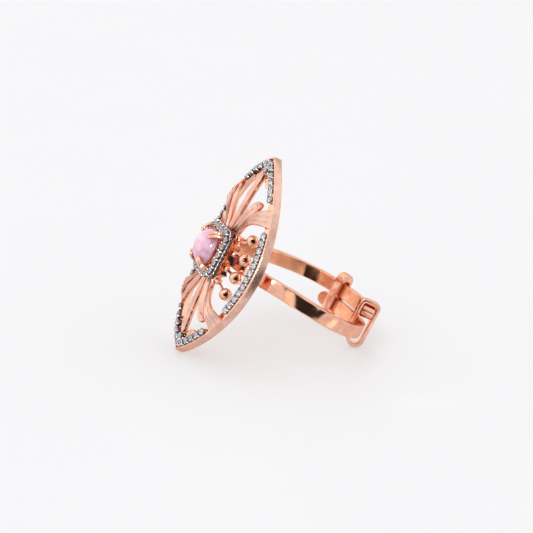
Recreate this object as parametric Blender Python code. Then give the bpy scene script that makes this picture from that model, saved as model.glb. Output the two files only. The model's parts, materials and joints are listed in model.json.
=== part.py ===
"""Adjustable marquise cocktail ring, lying on a table, built as separate pieces.

The pieces are laid out in the ring's own frame, in millimetres:
    x  across the finger, towards the near side
    y  along the finger, towards the upper point of the head
    z  from the centre of the finger hole, up through the head
Angles round the finger start at the bottom of the band and grow towards the near side.
One empty lays the whole ring down on the points it really rests on, with the table at Z = 0.
"""
import math

import bmesh
import bpy
from mathutils import Matrix, Vector
from mathutils.bvhtree import BVHTree

MM = 0.001
TOUCH_GAP = 0.03        # between pieces that are soldered or set against each other
SLIDE_GAP = 0.13        # between a loop and the tail that slides through it

# Head: a pointed oval (two circular arcs), bent slightly over the finger
HEAD_HALF_LENGTH = 12.9
HEAD_HALF_WIDTH = 8.35
HEAD_HEIGHT = 11.1      # front surface above the finger axis, at the middle
POINT_DROP = 1.2        # how much lower the two points are
SIDE_DROP = 2.1         # how much lower the two sides are
ARC_RADIUS = (HEAD_HALF_LENGTH ** 2 + HEAD_HALF_WIDTH ** 2) / (2 * HEAD_HALF_WIDTH)
ARC_CENTRE = ARC_RADIUS - HEAD_HALF_WIDTH

# Rim: an outer wall with a lip, and a sunk bed for the stones
RIM_WALL = 1.0
RIM_WIDTH = 1.15
RIM_POINT_WIDTH = 0.9   # added to the width at the two points
RIM_POINT_START = 10.6  # y where the rim starts to widen
RIM_POINT_RAMP = 1.0
LIP_WIDTH = 0.22
BED_DEPTH = 0.3
RIM_STATIONS = 30

# Stones
STONE_RADIUS = 0.46
STONE_HEIGHT = 0.34
STONE_SIDES = 8
STONE_SUNK = 0.08       # of a stone into the strip under it
STONE_FOOT = 0.55       # radius at the bottom, as a share of the stone's radius
STONE_TABLE = 0.6       # radius of the flat top, as a share
GIRDLE_LOW = 0.42       # the widest band of a stone, as shares of its height
GIRDLE_HIGH = 0.55
SEAT_HEIGHT = 0.17      # of the strip that holds a run of stones
MIDDLE_RUN_END = 5.4    # y where the middle run of stones stops
POINT_RUN_START = 8.3   # y where the run round a point starts
MIDDLE_RUN_STONES = 12
MIDDLE_RUN_STEPS = 12
POINT_RUN_STEPS = 5
POINT_RUN_STONES = 5    # on each side of a point
POINT_RUN_LAST = 11.6   # y of the last stone of a side
POINT_STONES = (11.95, 11.08)    # y of the two stones on the long axis

# Stone frame round the cabochon (halo), and the gallery under it
HALO_HALF_X = 3.35
HALO_HALF_Y = 3.2
HALO_CUT = 1.0
HALO_BAND = 1.0
HALO_BOTTOM = 0.12      # above the middle of the head's front surface
HALO_THICKNESS = 0.5
HALO_STONES = 20
GALLERY_HALF_X = 2.75
GALLERY_HALF_Y = 2.95
GALLERY_CUT = 1.0
GALLERY_WALL = 0.6
GALLERY_TOP = -0.12
GALLERY_SCALLOPS = 12
SCALLOP_DEPTH = 0.22

# Cabochon and its basket
CABOCHON_HALF_X = 1.95
CABOCHON_HALF_Y = 2.15
CABOCHON_POWER = 2.6
CABOCHON_BOTTOM = 0.95
CABOCHON_HEIGHT = 1.85
CABOCHON_BASE = 0.93    # size of its flat underside, as a share
CABOCHON_GIRDLE = 0.15
CABOCHON_STEPS = 8
CABOCHON_TOP_TURN = 86.0    # angle where the dome ends in a small flat
BASKET_BOTTOM = -0.1
BASKET_WALL = 0.35
BASKET_FOOT = 0.82      # size at the bottom, as a share of the cabochon's
CLAW_RADIUS = 0.2
CLAW_SPACING = 0.42
CLAW_SIDES = 8
CLAW_FOOT = (1.3, 1.44, 0.15)   # height above the middle of the head's front surface
CLAW_KNEE = (1.8, 2.0, 0.95)
CLAW_TIP = (1.33, 1.6, 2.12)
CLAW_TAPER = ((0.8, 1.0), (0.92, 0.85), (1.0, 0.45))    # shares of the way to the tip and the radius

# Petals
PETAL_BASE_Y = GALLERY_HALF_Y + TOUCH_GAP
PETAL_BASE_LIFT = -0.05     # of a petal's top, above the head's front surface
PETALS = {
    "long": {"flutes": 2, "depth": 0.6, "round_end": 0.12, "rise": 0.12, "dip": 0.0},
    "short": {"flutes": 2, "depth": 0.55, "round_end": 0.22, "rise": 0.4, "dip": 0.0},
    "broad": {"flutes": 3, "depth": 0.45, "round_end": 0.0, "rise": 0.75, "dip": 0.5},
}
PETAL_STATIONS = 10
FLUTE_DEPTH = 0.1
PETAL_RISE_END = 0.85   # share of a petal where it stops climbing and starts to come down
PETAL_END_PINCH = 0.93  # how sharply a round end closes
BROAD_PETAL_LOW = 6.1   # y where the lower edge of a broad petal meets the rim

# Balls on stems
BALL_RADIUS = 0.75
STEM_RADIUS = 0.2
STUB_RADIUS = 0.3
STEM_SIDES = 12
STEM_LEVEL = -0.6       # above the head's front surface
BALL_STEPS = 8
BALL_STEMS = {          # where a stem starts, x of its ball, and y where it meets the rim
    "outer": ((2.42, 2.72), 4.8, 4.08),
    "inner": ((2.8, 0.95), 5.15, 1.42),
}

# Shank: a bow fixed to the head, and two tails that lie side by side at the back
FINGER_RADIUS = 8.6
BAND_HALF_WIDTH = 0.84
BAND_THICK_TOP = 0.9
BAND_THICK_SIDE = 1.3
BAND_THICK_BACK = 1.0
HINGE_RADIUS = FINGER_RADIUS + BAND_THICK_SIDE / 2
FAR_TAIL_SHIFT = 0.65   # along the finger, where the tails lie side by side
NEAR_TAIL_SHIFT = -1.3
SHIFT_START = 130.0     # angle where the band starts to shift
SHIFT_END = 40.0        # angle where it has shifted fully
NEAR_TAIL_END = -44.0   # angle where the near tail stops, on the far side
FAR_TAIL_END = -17.5    # mirrored angle where the far tail stops, on the near side
KNUCKLE_GAP = 0.05
KNUCKLE_TURNS = (80.0, 60.0, 40.0, 20.0)    # angles of the rings that round a tail off at its hinge
TAIL_END_TURNS = (25.0, 50.0, 75.0)         # and at its free end
FAR_TAIL_SWELL = 0.4    # extra thickness of the far tail's end, which fills its loop
SWELL_TURN = 8.0        # degrees over which a tail swells
BAND_SOFTENING = 0.3    # of the band's edges, as a share of its half width and half thickness
BOW_STEPS = 16
TAIL_STEPS = 26
TOP_BLEND = (100.0, 60.0)   # angle where the band starts to thin towards the top, and over how many degrees
BACK_BLEND = (85.0, 30.0)   # the same towards the back

# Loops: each is fixed to one tail, and the other tail slides through it
LOOP_WIDTH = 1.15
LOOP_THICKNESS = 0.45
LOOP_SOFTENING = 0.12
LOOP_STEPS = 6          # along each quarter of a loop
LOOP_BOTTOM = -3.9      # lowest point of both loops, along the finger
LOOP_STRAIGHT_END = -2.3    # where the inner leg of a loop leaves the band and starts to lean outwards
NEAR_LOOP = {"angle": -31.0, "top": 2.65, "top_corner": 0.8, "slack": 0.0, "lean": 0.2}
FAR_LOOP = {"angle": 13.0, "top": 2.05, "top_corner": 0.5, "slack": 0.4, "lean": 0.4}

LYING_DOWN = (0.0, -1.0, -0.5)  # roughly downwards when the ring lies on its side, in its own frame
BALANCE_HEIGHT = 0.6    # of the ring's centre of mass, as a share of the head's height

ROSE_GOLD = {"colour": (0.80, 0.47, 0.37, 1.0), "roughness": 0.32, "metallic": 1.0}
POLISHED_GOLD = {"colour": (0.83, 0.46, 0.33, 1.0), "roughness": 0.12, "metallic": 1.0}
RHODIUM = {"colour": (0.62, 0.62, 0.64, 1.0), "roughness": 0.18, "metallic": 1.0}
CLEAR_STONE = {"colour": (0.92, 0.93, 0.95, 1.0), "roughness": 0.02, "metallic": 0.0}
PINK_STONE = {"colour": (0.80, 0.45, 0.60, 1.0), "roughness": 0.15, "metallic": 0.0}


def head_z(x, y):
    """Height of the head's front surface."""
    return HEAD_HEIGHT - SIDE_DROP * (x / HEAD_HALF_WIDTH) ** 2 - POINT_DROP * (y / HEAD_HALF_LENGTH) ** 2


def smooth_step(value):
    value = min(max(value, 0.0), 1.0)
    return value * value * (3.0 - 2.0 * value)


def material_for(name, look):
    material = bpy.data.materials.new(name)
    material.use_nodes = True
    shader = material.node_tree.nodes["Principled BSDF"]
    shader.inputs["Base Color"].default_value = look["colour"]
    shader.inputs["Roughness"].default_value = look["roughness"]
    shader.inputs["Metallic"].default_value = look["metallic"]
    return material


def make_piece(name, shape, look, parent, smooth=True):
    """One closed mesh from (points, faces) in the ring's frame, under the parent empty."""
    points, faces = shape
    offset = Vector(parent["ring_position"])
    mesh = bpy.data.meshes.new(name)
    mesh.from_pydata([(Vector(point) - offset) * MM for point in points], [], faces)
    work = bmesh.new()
    work.from_mesh(mesh)
    bmesh.ops.recalc_face_normals(work, faces=work.faces)
    work.to_mesh(mesh)
    work.free()
    if smooth:
        mesh.shade_smooth()
        mesh.set_sharp_from_angle(angle=math.radians(35))
    mesh.materials.append(material_for(name, look))
    piece = bpy.data.objects.new(name, mesh)
    bpy.context.scene.collection.objects.link(piece)
    piece.parent = parent
    return piece


def make_empty(name, position, parent):
    """An empty at a point of the ring's frame; pieces under it measure from there."""
    empty = bpy.data.objects.new(name, None)
    bpy.context.scene.collection.objects.link(empty)
    empty["ring_position"] = position
    empty.location = Vector(position) * MM
    empty.parent = parent
    return empty


def unite(piece, name, shape, parent):
    """Join another shape, which may be several bodies, to a piece with a Boolean union."""
    cutter = make_piece(name, shape, ROSE_GOLD, parent)
    cutter.hide_render = True
    cutter.display_type = "WIRE"
    union = piece.modifiers.new("union", "BOOLEAN")
    union.operation = "UNION"
    union.solver = "EXACT"
    union.object = cutter


def loft(rings, closed=False):
    """Quads through rings of points, with a flat cap on each end unless the rings close."""
    count = len(rings[0])
    points = [point for ring in rings for point in ring]
    spans = len(rings) if closed else len(rings) - 1
    faces = []
    for span in range(spans):
        low = span * count
        high = ((span + 1) % len(rings)) * count
        for j in range(count):
            k = (j + 1) % count
            faces.append((low + j, low + k, high + k, high + j))
    if not closed:
        last = (len(rings) - 1) * count
        faces.append(tuple(reversed(range(count))))
        faces.append(tuple(range(last, last + count)))
    return points, faces


def merge_shapes(shapes):
    points = []
    faces = []
    for shape_points, shape_faces in shapes:
        start = len(points)
        points.extend(shape_points)
        faces.extend(tuple(start + index for index in face) for face in shape_faces)
    return points, faces


def outline_point(side, inset, turn):
    """Point on the pointed oval, moved in by inset; turn runs from -1 at the lower point to 1."""
    radius = ARC_RADIUS - inset
    angle = turn * math.acos(ARC_CENTRE / radius)
    return side * (radius * math.cos(angle) - ARC_CENTRE), radius * math.sin(angle)


def turn_at(inset, y):
    """The turn at which the outline, moved in by inset, reaches y."""
    radius = ARC_RADIUS - inset
    return math.asin(y / radius) / math.acos(ARC_CENTRE / radius)


def rim_inner_inset(y):
    """Width of the rim, which is larger at the two points, where extra stones sit."""
    return RIM_WIDTH + RIM_POINT_WIDTH * smooth_step((abs(y) - RIM_POINT_START) / RIM_POINT_RAMP)


def rim_section(side, turn):
    """The rim's cut face: wall, floor, bed and lip."""
    y_outer = outline_point(side, 0.0, turn)[1]
    inner = rim_inner_inset(y_outer)
    corners = (
        (0.0, 0.0), (0.0, -RIM_WALL), (inner, -RIM_WALL),
        (inner, -BED_DEPTH), (LIP_WIDTH, -BED_DEPTH), (LIP_WIDTH, 0.0),
    )
    section = []
    for inset, level in corners:
        x, y = outline_point(side, inset, turn)
        section.append((x, y, head_z(x, y) + level))
    return section


def rim_shape():
    turns = [-1.0 + 2.0 * i / RIM_STATIONS for i in range(RIM_STATIONS)]
    near = [rim_section(1, turn) for turn in turns]
    far = [rim_section(-1, -turn) for turn in turns]
    return loft(near + far, closed=True)


def gem_shape(centre, normal, sunk=0.0):
    """Round stone: pavilion stub, girdle, crown and flat table, standing along its normal."""
    frame = Vector(normal).normalized().to_track_quat("Z", "Y").to_matrix()
    radius = STONE_RADIUS
    levels = (
        (STONE_FOOT * radius, -sunk), (radius, GIRDLE_LOW * STONE_HEIGHT),
        (radius, GIRDLE_HIGH * STONE_HEIGHT), (STONE_TABLE * radius, STONE_HEIGHT),
    )
    rings = []
    for ring_radius, level in levels:
        ring = []
        for side in range(STONE_SIDES):
            angle = math.tau * side / STONE_SIDES
            local = Vector((ring_radius * math.cos(angle), ring_radius * math.sin(angle), level))
            ring.append(Vector(centre) + frame @ local)
        rings.append(ring)
    return loft(rings)


def surface_normal(x, y):
    """Direction that the head's front surface faces."""
    slope_x = -2.0 * SIDE_DROP * x / HEAD_HALF_WIDTH ** 2
    slope_y = -2.0 * POINT_DROP * y / HEAD_HALF_LENGTH ** 2
    return Vector((-slope_x, -slope_y, 1.0)).normalized()


def seat_strip(stations):
    """Strip that holds stones, through (side, turn) stations; its inner edge follows the rim's."""
    low = -BED_DEPTH + TOUCH_GAP
    high = low + SEAT_HEIGHT
    rings = []
    for side, turn in stations:
        y_outer = outline_point(side, 0.0, turn)[1]
        inner = rim_inner_inset(y_outer) - TOUCH_GAP
        outer = LIP_WIDTH + TOUCH_GAP
        ring = []
        for inset, level in ((outer, low), (inner, low), (inner, high), (outer, high)):
            x, y = outline_point(side, inset, turn)
            ring.append((x, y, head_z(x, y) + level))
        rings.append(ring)
    return loft(rings)


def run_gem(x, y):
    level = head_z(x, y) - BED_DEPTH + TOUCH_GAP + SEAT_HEIGHT
    return gem_shape((x, y, level), surface_normal(x, y), sunk=STONE_SUNK)


def stone_line_inset():
    """How far inside the outline the stones' centres lie."""
    return (LIP_WIDTH + RIM_WIDTH) / 2


def middle_run(name, side, parent):
    inset = stone_line_inset()
    end = turn_at(0.0, MIDDLE_RUN_END)
    steps = MIDDLE_RUN_STEPS
    stations = [(side, end * (2.0 * i / steps - 1.0)) for i in range(steps + 1)]
    strip = make_piece(name, seat_strip(stations), RHODIUM, parent, smooth=False)
    reach = turn_at(inset, MIDDLE_RUN_END - STONE_RADIUS)
    gems = []
    for i in range(MIDDLE_RUN_STONES):
        turn = reach * (2.0 * i / (MIDDLE_RUN_STONES - 1) - 1.0)
        gems.append(run_gem(*outline_point(side, inset, turn)))
    unite(strip, name + "_gems", merge_shapes(gems), parent)


def point_run(name, end, parent):
    """V-shaped run round one point of the head; end is 1 for the upper point, -1 for the lower."""
    inset = stone_line_inset()
    start = turn_at(0.0, POINT_RUN_START)
    steps = POINT_RUN_STEPS
    one_side = [end * (start + (1.0 - start) * i / steps) for i in range(steps)]
    stations = [(1, turn) for turn in one_side]
    stations.append((1, end * 1.0))
    stations.extend((-1, turn) for turn in reversed(one_side))
    strip = make_piece(name, seat_strip(stations), RHODIUM, parent, smooth=False)
    gems = [run_gem(0.0, end * y) for y in POINT_STONES]
    first = turn_at(inset, POINT_RUN_START + STONE_RADIUS)
    last = turn_at(inset, POINT_RUN_LAST)
    for i in range(POINT_RUN_STONES):
        turn = end * (first + (last - first) * i / (POINT_RUN_STONES - 1))
        for side in (1, -1):
            gems.append(run_gem(*outline_point(side, inset, turn)))
    unite(strip, name + "_gems", merge_shapes(gems), parent)


def cut_corner_rectangle(half_x, half_y, cut):
    """The eight corners of a rectangle with its corners cut, anticlockwise from the near side."""
    return [
        (half_x, -half_y + cut), (half_x, half_y - cut), (half_x - cut, half_y), (cut - half_x, half_y),
        (-half_x, half_y - cut), (-half_x, cut - half_y), (cut - half_x, -half_y), (half_x - cut, -half_y),
    ]


def spread_along(corners, count):
    """Points at equal distances along a closed outline."""
    lengths = [math.dist(corners[i], corners[(i + 1) % len(corners)]) for i in range(len(corners))]
    total = sum(lengths)
    points = []
    for index in range(count):
        left = total * index / count
        edge = 0
        while left > lengths[edge]:
            left -= lengths[edge]
            edge += 1
        start = Vector(corners[edge])
        finish = Vector(corners[(edge + 1) % len(corners)])
        points.append(tuple(start.lerp(finish, left / lengths[edge])))
    return points


def halo_setting_shape():
    low = HEAD_HEIGHT + HALO_BOTTOM
    high = low + HALO_THICKNESS
    outer = cut_corner_rectangle(HALO_HALF_X, HALO_HALF_Y, HALO_CUT)
    inner_cut = HALO_CUT - HALO_BAND * (2.0 - math.sqrt(2.0))
    inner = cut_corner_rectangle(HALO_HALF_X - HALO_BAND, HALO_HALF_Y - HALO_BAND, inner_cut)
    rings = [[(*a, low), (*a, high), (*b, high), (*b, low)] for a, b in zip(outer, inner)]
    return loft(rings, closed=True)


def halo_stones(parent):
    middle = HALO_BAND / 2
    line_cut = HALO_CUT - middle * (2.0 - math.sqrt(2.0))
    line = cut_corner_rectangle(HALO_HALF_X - middle, HALO_HALF_Y - middle, line_cut)
    level = HEAD_HEIGHT + HALO_BOTTOM + HALO_THICKNESS + TOUCH_GAP
    for number, (x, y) in enumerate(spread_along(line, HALO_STONES), start=1):
        shape = gem_shape((x, y, level), (0.0, 0.0, 1.0))
        make_piece(f"halo_stone_{number:02d}", shape, CLEAR_STONE, parent, smooth=False)


def gallery_shape():
    """Short wall under the halo, with a scalloped lower edge."""
    top = HEAD_HEIGHT + GALLERY_TOP
    bottom = FINGER_RADIUS + BAND_THICK_TOP + TOUCH_GAP
    corners = cut_corner_rectangle(GALLERY_HALF_X, GALLERY_HALF_Y, GALLERY_CUT)
    outer = spread_along(corners, 4 * GALLERY_SCALLOPS)
    rings = []
    for index, (x, y) in enumerate(outer):
        lift = SCALLOP_DEPTH * (1.0 - math.cos(math.tau * index / 4.0)) / 2.0
        inward = 1.0 - GALLERY_WALL / math.hypot(x, y)
        inner_x, inner_y = x * inward, y * inward
        edge = bottom + lift
        rings.append([(x, y, edge), (x, y, top), (inner_x, inner_y, top), (inner_x, inner_y, edge)])
    return loft(rings, closed=True)


def cushion_ring(half_x, half_y, z, count=32):
    """Rounded rectangle, the outline of the cabochon and of what holds it."""
    ring = []
    for index in range(count):
        angle = math.tau * index / count
        c, s = math.cos(angle), math.sin(angle)
        reach = (abs(c) ** CABOCHON_POWER + abs(s) ** CABOCHON_POWER) ** (-1.0 / CABOCHON_POWER)
        ring.append((half_x * reach * c, half_y * reach * s, z))
    return ring


def cabochon_shape():
    bottom = HEAD_HEIGHT + CABOCHON_BOTTOM
    dome = CABOCHON_HEIGHT - CABOCHON_GIRDLE
    rings = [cushion_ring(CABOCHON_BASE * CABOCHON_HALF_X, CABOCHON_BASE * CABOCHON_HALF_Y, bottom)]
    for step in range(CABOCHON_STEPS):
        angle = math.radians(CABOCHON_TOP_TURN) * step / (CABOCHON_STEPS - 1)
        size = math.cos(angle)
        z = bottom + CABOCHON_GIRDLE + dome * math.sin(angle)
        rings.append(cushion_ring(size * CABOCHON_HALF_X, size * CABOCHON_HALF_Y, z))
    return loft(rings)


def basket_ring_shape():
    """Cup wall that the cabochon sits on."""
    low = HEAD_HEIGHT + BASKET_BOTTOM
    high = HEAD_HEIGHT + CABOCHON_BOTTOM - TOUCH_GAP
    foot = BASKET_FOOT
    outer_low = cushion_ring(foot * CABOCHON_HALF_X, foot * CABOCHON_HALF_Y, low)
    outer_high = cushion_ring(CABOCHON_HALF_X, CABOCHON_HALF_Y, high)
    inner_high = cushion_ring(CABOCHON_HALF_X - BASKET_WALL, CABOCHON_HALF_Y - BASKET_WALL, high)
    inner_low = cushion_ring(foot * CABOCHON_HALF_X - BASKET_WALL, foot * CABOCHON_HALF_Y - BASKET_WALL, low)
    rings = [list(ring) for ring in zip(outer_low, outer_high, inner_high, inner_low)]
    return loft(rings, closed=True)


def rod_shape(path, radii, sides):
    """Round rod along a path of points, with a radius at each."""
    path = [Vector(point) for point in path]
    frame = (path[-1] - path[0]).to_track_quat("Z", "Y").to_matrix()
    rings = []
    for centre, radius in zip(path, radii):
        ring = []
        for side in range(sides):
            angle = math.tau * side / sides
            ring.append(centre + frame @ Vector((radius * math.cos(angle), radius * math.sin(angle), 0.0)))
        rings.append(ring)
    return loft(rings)


def claw_shapes():
    """Two thin prongs at each corner of the cabochon, which lean in over its dome."""
    shapes = []
    radii = [CLAW_RADIUS, CLAW_RADIUS] + [share * CLAW_RADIUS for _, share in CLAW_TAPER]
    for sign_x in (1, -1):
        for sign_y in (1, -1):
            corner = Vector((sign_x, sign_y, 1.0))
            foot, knee, tip = (Vector(point) * corner for point in (CLAW_FOOT, CLAW_KNEE, CLAW_TIP))
            path = [foot, knee] + [knee.lerp(tip, way) for way, _ in CLAW_TAPER]
            for half in (-0.5, 0.5):
                shift = Vector((-sign_x, sign_y, 0.0)).normalized() * half * CLAW_SPACING
                shift.z = HEAD_HEIGHT
                shapes.append(rod_shape([point + shift for point in path], radii, CLAW_SIDES))
    return shapes


def bezier(points, t):
    """Point on a Bezier curve through any number of control points."""
    points = [Vector(point) for point in points]
    while len(points) > 1:
        points = [points[i].lerp(points[i + 1], t) for i in range(len(points) - 1)]
    return points[0]


def petal_shape(left_edge, right_edge, flutes, depth, round_end, rise, dip):
    """Fluted leaf between two edge curves given in plan.

    round_end draws the edges together over the last part. The leaf climbs by rise from its base, and comes
    down by dip just before its end.
    """
    across = 2 * flutes + 2
    rings = []
    for station in range(PETAL_STATIONS):
        t = station / (PETAL_STATIONS - 1)
        left = bezier(left_edge, t)
        right = bezier(right_edge, t)
        pinch = 0.0
        if round_end and t > 1.0 - round_end:
            u = (t - 1.0 + round_end) / round_end
            pinch = 1.0 - math.sqrt(1.0 - PETAL_END_PINCH * u * u)
        climb = smooth_step(t / PETAL_RISE_END)
        fall = smooth_step((t - PETAL_RISE_END) / (1.0 - PETAL_RISE_END))
        lift = PETAL_BASE_LIFT + rise * climb - dip * fall
        ring = []
        for j in range(across + 1):
            s = pinch / 2 + (1.0 - pinch) * j / across
            x, y = left.lerp(right, s)
            hollow = FLUTE_DEPTH * (1.0 - pinch) * math.sin(math.pi * flutes * j / across) ** 2
            ring.append((x, y, head_z(x, y) + lift - hollow))
        for s in (1.0 - pinch / 2, 0.5, pinch / 2):
            x, y = left.lerp(right, s)
            ring.append((x, y, head_z(x, y) + lift - depth))
        rings.append(ring)
    return loft(rings)


def mirrored(points, side, end):
    return [(side * x, end * y) for x, y in points]


def petal_edges():
    """Plan outlines of the petals of the upper spray, on the near side: long, short and broad."""
    y0 = PETAL_BASE_Y
    rim_inset = LIP_WIDTH + TOUCH_GAP
    clear = TOUCH_GAP / 2
    upper_corner = outline_point(1, rim_inset, turn_at(0.0, POINT_RUN_START) - clear)
    lower_corner = outline_point(1, rim_inset, turn_at(0.0, BROAD_PETAL_LOW))
    return {
        "long": ([(-0.45, y0), (-0.7, 7.0), (-0.65, 10.55)], [(0.45, y0), (0.7, 7.0), (0.65, 10.55)]),
        "short": (
            [(0.62, y0), (1.5, 5.6), (3.2, 8.2)],
            [(1.5, y0), (3.0, 5.1), (4.5, 7.45)],
        ),
        "broad": (
            [(1.62, y0), (3.0, 4.9), (4.35, 6.6), upper_corner],
            [(2.5, y0), (2.9, 4.3), (4.5, 5.5), lower_corner],
        ),
    }


def petals(parent):
    edges = petal_edges()
    for end, end_name in ((1, "upper"), (-1, "lower")):
        left, right = (mirrored(edge, 1, end) for edge in edges["long"])
        make_piece(f"{end_name}_long_petal", petal_shape(left, right, **PETALS["long"]), ROSE_GOLD, parent)
        for side, side_name in ((1, "near"), (-1, "far")):
            for kind in ("short", "broad"):
                left, right = (mirrored(edge, side, end) for edge in edges[kind])
                shape = petal_shape(left, right, **PETALS[kind])
                make_piece(f"{end_name}_{side_name}_{kind}_petal", shape, ROSE_GOLD, parent)


def ball_stem_shape(start, ball, finish):
    """Stub, ball and thin stem, turned round one straight line from the gallery to the rim."""
    line = (finish - start).normalized()
    path = [start]
    radii = [STUB_RADIUS]
    first = math.asin(STUB_RADIUS / BALL_RADIUS)
    last = math.pi - math.asin(STEM_RADIUS / BALL_RADIUS)
    for step in range(BALL_STEPS):
        angle = first + (last - first) * step / (BALL_STEPS - 1)
        path.append(ball - line * BALL_RADIUS * math.cos(angle))
        radii.append(BALL_RADIUS * math.sin(angle))
    path.append(finish)
    radii.append(STEM_RADIUS)
    return rod_shape(path, radii, STEM_SIDES)


def ball_stems(parent):
    """Four balls on each side, mirrored about both axes of the head."""
    inset = RIM_WIDTH + TOUCH_GAP
    for kind, ((start_x, start_y), ball_x, rim_y) in BALL_STEMS.items():
        rim_x = outline_point(1, inset, turn_at(inset, rim_y))[0]
        start = Vector((start_x, start_y, head_z(start_x, start_y) + STEM_LEVEL))
        finish = Vector((rim_x, rim_y, head_z(rim_x, rim_y) + STEM_LEVEL))
        ball = start.lerp(finish, (ball_x - start_x) / (rim_x - start_x))
        for side, side_name in ((1, "near"), (-1, "far")):
            for end, end_name in ((1, "upper"), (-1, "lower")):
                mirror = Vector((side, end, 1.0))
                shape = ball_stem_shape(start * mirror, ball * mirror, finish * mirror)
                make_piece(f"{side_name}_{end_name}_{kind}_ball", shape, POLISHED_GOLD, parent)


def band_thickness(angle):
    """Thickness of the band, from its angle off the bottom."""
    if angle > 90.0:
        share = smooth_step((angle - TOP_BLEND[0]) / TOP_BLEND[1])
        return BAND_THICK_SIDE + (BAND_THICK_TOP - BAND_THICK_SIDE) * share
    share = smooth_step((BACK_BLEND[0] - angle) / BACK_BLEND[1])
    return BAND_THICK_SIDE + (BAND_THICK_BACK - BAND_THICK_SIDE) * share


def band_shift(side, angle):
    """How far the band has moved along the finger at an angle on its own side."""
    full = NEAR_TAIL_SHIFT if side > 0 else FAR_TAIL_SHIFT
    return full * smooth_step((SHIFT_START - angle) / (SHIFT_START - SHIFT_END))


def band_section(side, angle, half_width=BAND_HALF_WIDTH, squeeze=1.0, swell=0.0):
    """Rounded cut face of the band; squeeze thins it about its own middle, swell thickens it outwards."""
    thick = band_thickness(angle) + swell
    middle = FINGER_RADIUS + thick / 2
    half_thick = squeeze * thick / 2
    soft = BAND_SOFTENING
    corners = (
        (-1.0, -1.0 + soft), (-1.0, 1.0 - soft), (-1.0 + soft, 1.0), (1.0 - soft, 1.0),
        (1.0, 1.0 - soft), (1.0, -1.0 + soft), (1.0 - soft, -1.0), (-1.0 + soft, -1.0),
    )
    turn = math.radians(angle)
    section = []
    for along, out in corners:
        radius = middle + out * half_thick
        y = band_shift(side, angle) + along * half_width
        section.append((side * radius * math.sin(turn), y, -radius * math.cos(turn)))
    return section


def bow_shape():
    """The fixed part of the band, from one side of the finger over the top to the other."""
    knuckle = math.degrees(math.asin((BAND_THICK_SIDE / 2 + KNUCKLE_GAP) / HINGE_RADIUS))
    first = 90.0 + knuckle
    angles = [first + (180.0 - first) * i / BOW_STEPS for i in range(BOW_STEPS + 1)]
    near = [band_section(1, angle) for angle in angles]
    far = [band_section(-1, angle) for angle in reversed(angles[:-1])]
    return loft(near + far)


def tail_shape(side, last_angle, swell=0.0):
    """A free end of the band: round about its hinge at the side, and round-ended at the back."""
    rings = []
    for turn in KNUCKLE_TURNS:
        rise = BAND_THICK_SIDE / 2 * math.sin(math.radians(turn))
        angle = 90.0 + math.degrees(math.asin(rise / HINGE_RADIUS))
        rings.append(band_section(side, angle, squeeze=math.cos(math.radians(turn))))
    round_angle = math.degrees(BAND_HALF_WIDTH / FINGER_RADIUS)
    straight_end = last_angle + round_angle
    for i in range(TAIL_STEPS + 1):
        angle = 90.0 + (straight_end - 90.0) * i / TAIL_STEPS
        share = smooth_step((straight_end + SWELL_TURN - angle) / SWELL_TURN)
        rings.append(band_section(side, angle, swell=swell * share))
    for turn in TAIL_END_TURNS:
        angle = straight_end - round_angle * math.sin(math.radians(turn))
        half_width = BAND_HALF_WIDTH * math.cos(math.radians(turn))
        rings.append(band_section(side, angle, half_width=half_width, swell=swell))
    return loft(rings)


def loop_path(inner, outer, bottom_inner, top, bottom, top_corner):
    """Middle line of a loop as (outward, along) points, with round corners on top and a round bottom.

    The inner leg is straight along the band, and below it leans outwards to bottom_inner.
    """
    bottom_radius = (outer - bottom_inner) / 2
    bottom_out = (outer + bottom_inner) / 2
    quarters = (
        (outer - top_corner, top - top_corner, top_corner, 0.0),
        (inner + top_corner, top - top_corner, top_corner, 90.0),
        (bottom_out, bottom + bottom_radius, bottom_radius, 180.0),
        (bottom_out, bottom + bottom_radius, bottom_radius, 270.0),
    )
    path = []
    for out, along, radius, first in quarters:
        if first == 180.0:
            path.append((inner, LOOP_STRAIGHT_END))
        for step in range(LOOP_STEPS):
            angle = math.radians(first + 90.0 * (step + 0.5) / LOOP_STEPS)
            path.append((out + radius * math.cos(angle), along + radius * math.sin(angle)))
    return path


def loop_shape(angle, top, top_corner, slack, lean):
    """Flat strip bent into a tall loop round both tails, at an angle of the band.

    slack is the room left outside the tails, and lean is how far the inner leg moves outwards at the bottom.
    """
    turn = math.radians(angle)
    outward = Vector((math.sin(turn), 0.0, -math.cos(turn)))
    sideways = Vector((math.cos(turn), 0.0, math.sin(turn)))
    along = Vector((0.0, 1.0, 0.0))
    centre = outward * (FINGER_RADIUS + BAND_THICK_BACK / 2)
    half_w = LOOP_WIDTH / 2
    half_t = LOOP_THICKNESS / 2
    reach = BAND_THICK_BACK / 2 + SLIDE_GAP + half_t
    path = loop_path(-reach, reach + slack, lean - reach, top - half_t, LOOP_BOTTOM + half_t, top_corner)
    soft = LOOP_SOFTENING
    section = (
        (-half_w, -half_t + soft), (-half_w, half_t - soft),
        (-half_w + soft, half_t), (half_w - soft, half_t),
        (half_w, half_t - soft), (half_w, -half_t + soft),
        (half_w - soft, -half_t), (-half_w + soft, -half_t),
    )
    rings = []
    for index, (out, rise) in enumerate(path):
        before = Vector(path[index - 1])
        after = Vector(path[(index + 1) % len(path)])
        tangent = (after - before).normalized()
        normal = outward * tangent.y - along * tangent.x
        point = centre + outward * out + along * rise
        rings.append([point + sideways * wide + normal * thick for wide, thick in section])
    return loft(rings, closed=True)


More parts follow.
